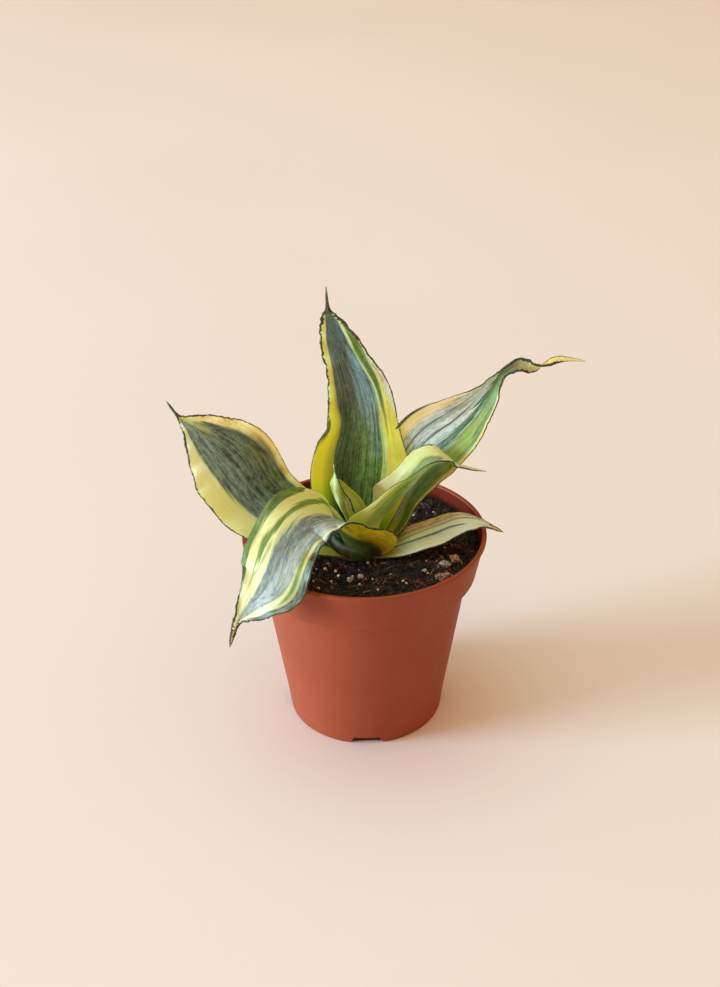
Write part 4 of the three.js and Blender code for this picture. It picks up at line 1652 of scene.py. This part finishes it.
    def _cutters(self) -> list[Object]:
        """Models the notches of the foot and the drain holes, as bodies to cut away.

        Returns:
            The bodies.
        """
        whole = 2 * math.pi
        cutters = [
            self._notch(index * whole / self.notch_count) for index in range(self.notch_count)
        ]
        for index in range(self.hole_count):
            angle = (index + 0.5) * whole / self.hole_count
            middle = Vector((math.cos(angle), math.sin(angle), 0)) * self.hole_circle * MM
            middle.z = (self.channel_height + self.wall / 2) * MM
            cutter = start_piece(
                "drain_hole",
                bpy.ops.mesh.primitive_cylinder_add,
                vertices=32,
                radius=self.hole_radius * MM,
                depth=4 * MM,
                location=middle,
            )
            cutters.append(cutter)
        return cutters

    def _notch(self, angle: float) -> Object:
        """Models the wedge that one notch takes out of the foot ring.

        Args:
            angle: Where it is around the foot, in radians.

        Returns:
            The wedge.
        """
        inner = self.foot_radius - self.notch_depth
        outer = self.foot_radius + 3
        below = 1.0
        wedge = start_piece(
            "foot_notch",
            bpy.ops.mesh.primitive_cube_add,
            size=1,
            location=Vector((0, -(inner + outer) / 2, (self.notch_height - below) / 2)) * MM,
            scale=Vector((1, outer - inner, self.notch_height + below)) * MM,
        )
        bpy.ops.object.transform_apply(location=True, rotation=True, scale=True)
        places = vertex_places(wedge)
        slope = (self.notch_bottom - self.notch_top) / 2 / self.notch_height
        half_bottom = self.notch_bottom / 2 + slope * below
        half = np.where(places[:, 2] > 0, self.notch_top / 2, half_bottom) * MM
        places[:, 0] = np.sign(places[:, 0]) * half
        move_vertices(wedge, places)
        wedge.rotation_euler.z = angle
        bpy.ops.object.transform_apply(location=True, rotation=True, scale=True)
        return wedge

    def inner_radius(self, height: float) -> float:
        """Reads the inside radius of the collar.

        Args:
            height: Height over the floor in millimetres.

        Returns:
            The radius in millimetres.
        """
        heights = (self.collar_height + 2, self.height)
        radii = (self.collar_bottom - self.wall, self.rim_radius - self.lip_width)
        return float(np.interp(height, heights, radii))


POT = Pot()


# ------------------------------------------------------------------ soil

WHOLE_TURN = 6.28
CHIP_DRIFT = ((40, 6), (-27, 5), 26)  # middle and spread across and back, and how many
SEEN_SPECKS = [  # place and size of the specks that the picture shows
    (-19, -23, 0.9), (-14, -25.5, 0.7), (-12.5, -29, 0.8), (-16, -33, 0.7), (18, -34, 0.7),
    (19.5, -35.5, 0.6), (30, -27, 0.6), (50, -12, 0.5), (-6, -30, 0.8), (3.5, -32, 0.5),
]


@dataclass(frozen=True)
class EarthFinish:
    """Damp peat soil and the loose bits that lie on it.

    Attributes:
        name: The material's name.
        stops: Colours from the darkest to the lightest.
        grain: Size of its grains in millimetres.
        relief: Depth of its fine relief in millimetres.
        tinted: Whether each bit has a tone of its own.
    """

    name: str
    stops: Stops
    grain: float = 0.9
    relief: float = 0.35
    tinted: bool = True

    def dress(self) -> Material:
        """Makes the material.

        Returns:
            The material.
        """
        palette = Palette(self.name)
        place = palette.place()
        fine = palette.noise(place, 1 / (self.grain * MM), 4.0, 0.65)
        coarse = palette.noise(place, 0.12 / (self.grain * MM), 2.0)
        tone = palette.spread(palette.weigh((fine, 0.7), (coarse, 0.3)), 0.36, 0.66)
        if self.tinted:
            tint = palette.add("Attribute", {}, attribute_name=TINT).outputs["Fac"]
            tone = palette.weigh((tone, 0.35), (tint, 0.65), clamp=True)
        roughness = palette.spread(fine, 0.3, 0.7, 0.97, 0.8)
        relief = palette.bump(fine, self.relief, 0.9)
        return palette.finish(palette.ramp(tone, self.stops), roughness, Normal=relief)


PEAT = EarthFinish(
    "peat_soil",
    ((0.0, (5, 4, 2)), (0.42, (17, 12, 6)), (0.66, (38, 25, 12)), (0.86, (88, 57, 27)),
     (1.0, (136, 94, 50))),
    grain=1.1, relief=0.6, tinted=False,
)
CRUMB = EarthFinish(
    "peat_crumbs",
    ((0.0, (6, 5, 3)), (0.45, (23, 16, 8)), (0.68, (56, 37, 18)), (0.88, (126, 84, 42)),
     (1.0, (186, 148, 96))),
)
FIBRE = EarthFinish(
    "coir_fibre",
    ((0.0, (44, 28, 14)), (0.5, (104, 68, 34)), (0.8, (162, 116, 62)), (1.0, (212, 176, 114))),
    grain=0.5, relief=0.05,
)
PERLITE = EarthFinish(
    "perlite_white",
    ((0.0, (150, 132, 116)), (0.4, (206, 196, 184)), (1.0, (240, 236, 228))),
    grain=0.8, relief=0.25,
)
BARK_TAN = EarthFinish(
    "bark_tan",
    ((0.0, (84, 56, 34)), (0.4, (160, 120, 74)), (0.8, (206, 172, 118)), (1.0, (228, 202, 152))),
    relief=0.3, tinted=False,
)
BARK_GREY = EarthFinish(
    "bark_grey",
    ((0.0, (72, 64, 56)), (0.4, (132, 122, 108)), (0.8, (176, 168, 152)), (1.0, (210, 204, 190))),
    relief=0.3, tinted=False,
)
BARK_BROWN = EarthFinish(
    "bark_brown",
    ((0.0, (40, 26, 18)), (0.35, (92, 62, 44)), (0.7, (150, 112, 86)), (1.0, (206, 176, 150))),
    grain=0.7, relief=0.45, tinted=False,
)
ROOT_SKIN = EarthFinish(
    "rootstock_skin",
    ((0.0, (62, 44, 24)), (0.5, (126, 98, 54)), (1.0, (176, 150, 92))),
    grain=1.4, relief=0.3, tinted=False,
)


@dataclass(frozen=True)
class Copy:
    """Where one copy of a small model goes.

    Attributes:
        place: Its middle in millimetres.
        shape: Its turn and size in millimetres.
        tint: Its tone, from 0 to 1.
    """

    place: Vector
    shape: Matrix
    tint: float


def crumb_model(seed: int) -> Object:
    """Models one angular crumb about 2 units wide.

    Args:
        seed: Which crumb.

    Returns:
        The model.
    """
    sphere = bpy.ops.mesh.primitive_ico_sphere_add
    model = start_piece(f"crumb_model_{seed}", sphere, subdivisions=2, radius=1)
    with editing():
        bpy.ops.transform.vertex_random(offset=0.22, seed=seed)
    return model


def fibre_model(seed: int) -> Object:
    """Models one curved sliver, 1 unit long and wide.

    Args:
        seed: Which sliver.

    Returns:
        The model.
    """
    model = start_piece(f"fibre_model_{seed}", bpy.ops.mesh.primitive_cube_add, size=1)
    with editing("DESELECT"):
        pass
    corners = [corner.co.x for corner in model.data.vertices]
    ends = (edge.vertices for edge in model.data.edges)
    lengthwise = [abs(corners[one] - corners[other]) > 0.5 for one, other in ends]
    model.data.edges.foreach_set("select", lengthwise)
    with editing(None):
        bpy.ops.mesh.select_mode(type="EDGE")
        bpy.ops.mesh.subdivide(number_cuts=5)
        bpy.ops.mesh.select_all(action="SELECT")
        bpy.ops.transform.vertex_random(offset=0.05, seed=seed)
    places = vertex_places(model)
    taper = 1 - 0.75 * (2 * np.abs(places[:, 0])) ** 2
    places[:, 1] = places[:, 1] * taper + 0.5 * np.sin(places[:, 0] * 3.1 + seed)
    places[:, 2] = places[:, 2] * taper
    move_vertices(model, places)
    return model


def any_turn(draw: np.random.Generator) -> Matrix:
    """Draws a turn about an axis that points anywhere.

    Args:
        draw: The random draw.

    Returns:
        The turn.
    """
    angle = draw.uniform(0, WHOLE_TURN)
    return Matrix.Rotation(angle, 3, Vector(draw.normal(size=3)).normalized())


def gather_copies(
    name: str, models: list[Object], copies: list[Copy], finish: EarthFinish, slot: str
) -> None:
    """Copies small models to their places and joins them to one finished piece.

    Args:
        name: The piece's name.
        models: The models, used in turn and then removed.
        copies: Where the copies go.
        finish: Their finish.
        slot: Their material slot.
    """
    shapes = [vertex_places(model) for model in models]
    faces = [[tuple(face.vertices) for face in model.data.polygons] for model in models]
    places: list[np.ndarray] = []
    joined: list[tuple[int, ...]] = []
    tints: list[np.ndarray] = []
    start = 0
    for index, copy in enumerate(copies):
        shape = shapes[index % len(models)]
        places.append(shape @ np.array(copy.shape).T + np.array(copy.place))
        joined.extend(
            tuple(corner + start for corner in face) for face in faces[index % len(models)]
        )
        tints.append(np.full(len(shape), copy.tint, dtype=np.float32))
        start += len(shape)
    mesh = bpy.data.meshes.new(name)
    mesh.from_pydata((np.concatenate(places) * MM).tolist(), [], joined)
    mesh.attributes.new(TINT, "FLOAT", "POINT").data.foreach_set("value", np.concatenate(tints))
    mesh.materials.append(finish.dress())
    piece = bpy.data.objects.new(name, mesh)
    bpy.context.collection.objects.link(piece)
    for model in models:
        bpy.data.objects.remove(model, do_unlink=True)
    seat(piece, slot)


@dataclass(frozen=True)
class Soil:
    """The soil that fills the pot, with its crumbs, fibres and specks.

    Attributes:
        level: Height of its surface.
        rim_drop: How much lower it lies along the wall.
        bottom: Height of its underside.
        gap: Room between it and the pot's wall.
        cells: Faces across the surface.
        seed: Which random draw.
        crumbs: How many crumbs of peat are drawn.
        chips: How many bits of bark are drawn all over it.
        fibres: How many fibres are drawn.
        specks: How many specks of perlite are drawn.
    """

    level: float = 95.0
    rim_drop: float = 0.8
    bottom: float = 4.9
    gap: float = 0.3
    cells: int = 190
    seed: int = 41
    crumbs: int = 1900
    chips: int = 46
    fibres: int = 260
    specks: int = 60

    def height(self, x: float, y: float) -> float:
        """Reads the height of the lumpy surface.

        Args:
            x: Place in millimetres.
            y: Place in millimetres.

        Returns:
            The height in millimetres.
        """
        edge = float(smooth_step(40, 56, np.array(math.hypot(x, y))))
        clods = noise.fractal(Vector((x / 7, y / 7, 3.1)), 0.9, 2.1, 3)
        lumps = noise.turbulence(Vector((x / 2.6, y / 2.6, 8.7)), 3, False)
        coarse = 0.45 * (math.sin(x / 6.1 + 0.7) * math.cos(y / 5.3 - 0.4))
        return self.level - self.rim_drop * edge + coarse + 0.9 * clods + 1.1 * (lumps - 0.55)

    def build(self) -> None:
        """Models what lies on the soil, and the soil."""
        self._crumbs()
        self._chips()
        self._fibres()
        self._specks()
        self._ground()

    def _ground(self) -> None:
        """Models the body of soil, from a grid drawn out to a disc."""
        grid = bpy.ops.mesh.primitive_grid_add
        cells = self.cells
        piece = start_piece("peat_ground", grid, x_subdivisions=cells, y_subdivisions=cells, size=2)
        flat = vertex_places(piece)
        radius = POT.inner_radius(self.level) + 0.1
        disc = np.zeros_like(flat)
        disc[:, 0] = flat[:, 0] * np.sqrt(1 - flat[:, 1] ** 2 / 2) * radius
        disc[:, 1] = flat[:, 1] * np.sqrt(1 - flat[:, 0] ** 2 / 2) * radius
        disc[:, 2] = [self.height(x, y) for x, y, _ in disc]
        move_vertices(piece, disc * MM)
        with editing("DESELECT"):
            pass
        border = np.isclose(np.abs(flat[:, :2]).max(axis=1), 1)
        piece.data.vertices.foreach_set("select", border)
        with editing(None):
            bpy.ops.mesh.select_mode(type="VERT")
            for height, inside in self._walls():
                bpy.ops.mesh.extrude_region_move(TRANSFORM_OT_translate={"value": (0, 0, -MM)})
                self._gather(piece, height, inside)
            bpy.ops.mesh.edge_face_add()
            bpy.ops.mesh.select_all(action="SELECT")
            bpy.ops.mesh.normals_make_consistent(inside=False)
        bpy.ops.object.shade_smooth()
        piece.data.materials.append(PEAT.dress())
        seat(piece, "soil", "soil")

    def _walls(self) -> tuple[tuple[float, float], ...]:
        """Lists the rings of the soil's side, from the top down.

        Returns:
            Height and radius of each.
        """
        return (
            (POT.collar_height + 2.4, POT.collar_bottom - POT.wall - self.gap),
            (POT.shoulder_height - 0.9, POT.shoulder_radius - POT.wall - self.gap),
            (self.bottom, POT.foot_radius - POT.wall - 1.2),
        )

    def _gather(self, piece: Object, height: float, radius: float) -> None:
        """Brings the ring that is selected in edit mode to one height and radius.

        Args:
            piece: The body of soil.
            height: The ring's height in millimetres.
            radius: Its radius in millimetres.
        """
        bpy.ops.object.mode_set(mode="OBJECT")
        chosen = np.empty(len(piece.data.vertices), dtype=bool)
        piece.data.vertices.foreach_get("select", chosen)
        places = vertex_places(piece)
        ring = places[chosen]
        reach = np.hypot(ring[:, 0], ring[:, 1])
        ring[:, :2] *= (radius * MM / reach)[:, None]
        ring[:, 2] = height * MM
        places[chosen] = ring
        move_vertices(piece, places)
        bpy.ops.object.mode_set(mode="EDIT")

    def _spots(self, count: int, seed: int) -> list[tuple[float, float]]:
        """Draws places on the surface.

        Args:
            count: How many.
            seed: Which draw.

        Returns:
            The places' x and y in millimetres.
        """
        draw = np.random.default_rng(self.seed + seed)
        reach = POT.inner_radius(self.level) - 1.2
        radius = reach * np.sqrt(draw.uniform(0.03, 1, count))
        angle = draw.uniform(0, 2 * math.pi, count)
        return list(zip(radius * np.cos(angle), radius * np.sin(angle)))

    def _above(self, x: float, y: float, lift: float) -> Vector:
        """Finds a point over the surface.

        Args:
            x: Place in millimetres.
            y: Place in millimetres.
            lift: How far over the surface.

        Returns:
            The point in millimetres.
        """
        return Vector((x, y, self.height(x, y) + lift))

    def _crumbs(self) -> None:
        """Models the crumbs of peat."""
        models = [crumb_model(index) for index in range(5)]
        draw = np.random.default_rng(self.seed)
        copies = []
        for x, y in self._spots(self.crumbs, 1):
            size = 0.35 + 1.5 * draw.random() ** 3.2
            squash = Matrix.Diagonal(draw.uniform(0.5, 0.95, 3))
            shape = any_turn(draw) @ squash * size
            place = self._above(x, y, size * draw.uniform(-0.1, 0.55))
            copies.append(Copy(place, shape, float(draw.beta(1.3, 2.6))))
        gather_copies("peat_crumbs", models, copies, CRUMB, "soil")

    def _chips(self) -> None:
        """Models the coarser bits of bark, all over and in a drift at the front right."""
        models = [crumb_model(index + 20) for index in range(4)]
        draw = np.random.default_rng(self.seed + 17)
        across, back, count = CHIP_DRIFT
        drift = zip(draw.normal(*across, count), draw.normal(*back, count))
        copies = []
        for x, y in [*self._spots(self.chips, 19), *drift]:
            size = draw.uniform(0.7, 1.5)
            if math.hypot(x, y) > POT.inner_radius(self.level) - size - 1:
                continue
            squash = Matrix.Diagonal(draw.uniform(0.45, 1.0, 3))
            shape = any_turn(draw) @ squash * size
            place = self._above(x, y, size * 0.1)
            copies.append(Copy(place, shape, float(draw.uniform(0.2, 0.9))))
        gather_copies("bark_crumbs", models, copies, BARK_BROWN, "bark_3")

    def _fibres(self) -> None:
        """Models the fibres and slivers of coir."""
        models = [fibre_model(index) for index in range(4)]
        draw = np.random.default_rng(self.seed + 5)
        copies = []
        for x, y in self._spots(self.fibres, 6):
            length = draw.uniform(2.0, 7.5)
            thick = draw.uniform(0.25, 0.8)
            shape = Matrix.Diagonal((length, thick, thick * draw.uniform(0.35, 0.9)))
            turn = Matrix.Rotation(draw.uniform(0, WHOLE_TURN), 3, "Z")
            turn = turn @ Matrix.Rotation(draw.normal(0, 0.25), 3, "Y")
            place = self._above(x, y, 0.3 + 0.5 * draw.random())
            if math.hypot(x, y) < POT.inner_radius(self.level) - 1 - length / 2:
                copies.append(Copy(place, turn @ shape, float(draw.beta(1.4, 1.8))))
        gather_copies("coir_fibres", models, copies, FIBRE, "soil")

    def _specks(self) -> None:
        """Models the small specks of perlite, those that the picture shows and some more."""
        models = [crumb_model(index + 10) for index in range(3)]
        draw = np.random.default_rng(self.seed + 9)
        scattered = [(x, y, draw.uniform(0.25, 0.75)) for x, y in self._spots(self.specks, 11)]
        copies = []
        for x, y, size in SEEN_SPECKS + scattered:
            shape = any_turn(draw) * size
            copies.append(Copy(self._above(x, y, size * 0.5), shape, float(draw.uniform(0.3, 1))))
        gather_copies("perlite_specks", models, copies, PERLITE, "perlite")


@dataclass(frozen=True)
class Lump:
    """A larger piece of bark or perlite, half sunk in the soil.

    Attributes:
        node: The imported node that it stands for.
        slot: Its material slot.
        finish: Its finish.
        rough: How uneven it is.
        flake: How flat and layered it is, from 0 to 1.
        seed: Which random shape.
    """

    node: str
    slot: str
    finish: EarthFinish
    rough: float
    flake: float
    seed: int

    def build(self) -> None:
        """Models the lump inside its node's box and dresses it."""
        low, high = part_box(self.node)
        sphere = bpy.ops.mesh.primitive_ico_sphere_add
        piece = start_piece(self.node + "_piece", sphere, subdivisions=4, radius=1)
        shaped = np.array([self._broken(Vector(corner))[:] for corner in vertex_places(piece)])
        shaped /= np.abs(shaped).max(axis=0)
        move_vertices(piece, shaped * np.array((high - low) / 2) + np.array((low + high) / 2))
        bpy.ops.object.shade_smooth_by_angle(angle=math.radians(40))
        piece.data.materials.append(self.finish.dress())
        seat(piece, self.slot, self.node)

    def _broken(self, point: Vector) -> Vector:
        """Moves one point of a sphere to the lump's broken surface.

        Args:
            point: The point, 1 from the middle.

        Returns:
            The point on the lump.
        """
        big = noise.fractal(point * 1.3 + Vector((self.seed, 0, 0)), 0.8, 2.0, 3)
        small = noise.turbulence(point * 4.5 + Vector((0, self.seed, 0)), 3, False)
        layer = math.floor(point.z * 4) / 4
        point.z += (layer - point.z) * self.flake
        return point * (0.84 + self.rough * (0.55 * big + 0.3 * (small - 0.5)))


LUMPS = (
    Lump("bark_chip_1", "bark_1", BARK_TAN, 0.35, 0.5, 3),
    Lump("bark_chip_2", "bark_2", BARK_GREY, 0.4, 0.4, 7),
    Lump("bark_chip_3", "bark_3", BARK_BROWN, 0.55, 0.2, 12),
    Lump("perlite_grain_1", "perlite", PERLITE, 0.5, 0.0, 21),
    Lump("perlite_grain_2", "perlite", PERLITE, 0.5, 0.0, 26),
    Lump("perlite_grain_3", "perlite", PERLITE, 0.5, 0.0, 33),
)


# ------------------------------------------------------------------ studio


@dataclass(frozen=True)
class SoftLight:
    """A large round light.

    Attributes:
        name: Its name.
        direction: Where it stands, seen from the pot.
        distance: Its distance in metres.
        size: Its width in metres.
        power: Its power in watts.
        colour: Its linear colour.
    """

    name: str
    direction: tuple[float, float, float]
    distance: float
    size: float
    power: float
    colour: Colour

    def build(self) -> None:
        """Hangs the light, turned to the pot."""
        direction = Vector(self.direction).normalized()
        data = bpy.data.lights.new(self.name, "AREA")
        data.shape = "DISK"
        data.size = self.size
        data.energy = self.power
        data.color = self.colour
        light = bpy.data.objects.new(self.name, data)
        light.location = direction * self.distance
        light.rotation_euler = direction.to_track_quat("Z", "Y").to_euler()
        bpy.context.collection.objects.link(light)


@dataclass(frozen=True)
class Studio:
    """The pale floor, the soft lights and the light of the room.

    Attributes:
        lights: The large soft lights.
        floor: Colour of the floor.
        floor_radius: Radius of the floor in metres.
        around: Linear colour of the light that comes from all around.
        backdrop: Colour that the camera sees past the floor.
    """

    lights: tuple[SoftLight, ...] = (
        SoftLight("window_light", (-0.965, -0.185, 0.15), 4.5, 2.0, 460.0, (0.58, 0.76, 1.0)),
        SoftLight("ceiling_light", (-0.25, 0.1, 1.0), 4.5, 5.1, 72.0, (0.30, 0.92, 1.0)),
    )
    floor: Colour = (240, 232, 224)
    floor_radius: float = 6.0
    around: Colour = (0.76, 0.44, 0.245)
    backdrop: Colour = (240, 226, 212)

    def build(self) -> None:
        """Lays the floor and lights it."""
        circle = bpy.ops.mesh.primitive_circle_add
        radius = self.floor_radius
        floor = start_piece("studio_floor", circle, vertices=96, radius=radius, fill_type="NGON")
        palette = Palette("studio_paper")
        share = palette.spread(palette.noise(palette.place(), 1.2, 2.0), 0.35, 0.65)
        darker = tuple(channel * 0.985 for channel in self.floor)
        colour = palette.mix(share, paint(darker), paint(self.floor))
        floor.data.materials.append(palette.finish(colour, 0.9))
        for light in self.lights:
            light.build()
        self._surroundings()
        bpy.context.scene.view_settings.view_transform = "Standard"

    def _surroundings(self) -> None:
        """Fills the room with soft warm light, and shows a pale wall past the floor."""
        world = bpy.data.worlds.new("studio_room")
        world.use_nodes = True
        tree = world.node_tree
        glow = tree.nodes["Background"]
        glow.inputs["Color"].default_value = (*self.around, 1.0)
        wall = tree.nodes.new("ShaderNodeBackground")
        wall.inputs["Color"].default_value = paint(self.backdrop)
        seen = tree.nodes.new("ShaderNodeLightPath")
        join = tree.nodes.new("ShaderNodeMixShader")
        tree.links.new(seen.outputs["Is Camera Ray"], join.inputs[0])
        tree.links.new(glow.outputs[0], join.inputs[1])
        tree.links.new(wall.outputs[0], join.inputs[2])
        tree.links.new(join.outputs[0], tree.nodes["World Output"].inputs["Surface"])
        bpy.context.scene.world = world


@dataclass(frozen=True)
class Viewpoint:
    """The photograph's camera.

    Attributes:
        target: Point that it looks at, in millimetres.
        distance: Distance to that point, in millimetres.
        pitch: How far it looks down, in degrees.
        roll: How far it leans, in degrees.
        lens: Focal length in millimetres.
        sensor: Width of the picture behind the lens, in millimetres.
        near: Distance in metres from which things are seen.
        far: Distance in metres up to which they are seen.
    """

    target: tuple[float, float, float] = (-1.9, 0.0, 123.0)
    distance: float = 663.0
    pitch: float = 29.9
    roll: float = -0.7
    lens: float = 50.0
    sensor: float = 36.0
    near: float = 0.01
    far: float = 100.0

    def build(self) -> None:
        """Adds the camera and makes it the scene's."""
        pitch, roll = math.radians(self.pitch), math.radians(self.roll)
        ahead = Vector((0, math.cos(pitch), -math.sin(pitch)))
        level = Vector((1, 0, 0))
        upright = level.cross(ahead)
        right = level * math.cos(roll) + upright * math.sin(roll)
        up = upright * math.cos(roll) - level * math.sin(roll)
        place = (Vector(self.target) - ahead * self.distance) * MM
        data = bpy.data.cameras.new("photo_camera")
        data.lens = self.lens
        data.sensor_width = self.sensor
        data.clip_start = self.near
        data.clip_end = self.far
        camera = bpy.data.objects.new("photo_camera", data)
        turn = Matrix((right, up, -ahead)).transposed()
        camera.matrix_world = Matrix.Translation(place) @ turn.to_4x4()
        bpy.context.collection.objects.link(camera)
        bpy.context.scene.camera = camera


# ------------------------------------------------------------------ assembly


def dress_rootstock() -> None:
    """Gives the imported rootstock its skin."""
    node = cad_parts["rootstock"]
    skin = ROOT_SKIN.dress()
    if not node.material_slots:
        node.data.materials.append(skin)
    for slot in node.material_slots:
        slot.material = skin
    log.info("rootstock: dressed")


def main() -> None:
    """Builds the camera, the studio and every piece."""
    logging.basicConfig(level=logging.INFO, format="%(name)s %(message)s")
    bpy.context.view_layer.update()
    Viewpoint().build()
    Studio().build()
    POT.build()
    dress_rootstock()
    for lump in LUMPS:
        lump.build()
    Soil().build()
    for leaf in LEAVES:
        leaf.build()


if __name__ == "__main__":
    main()
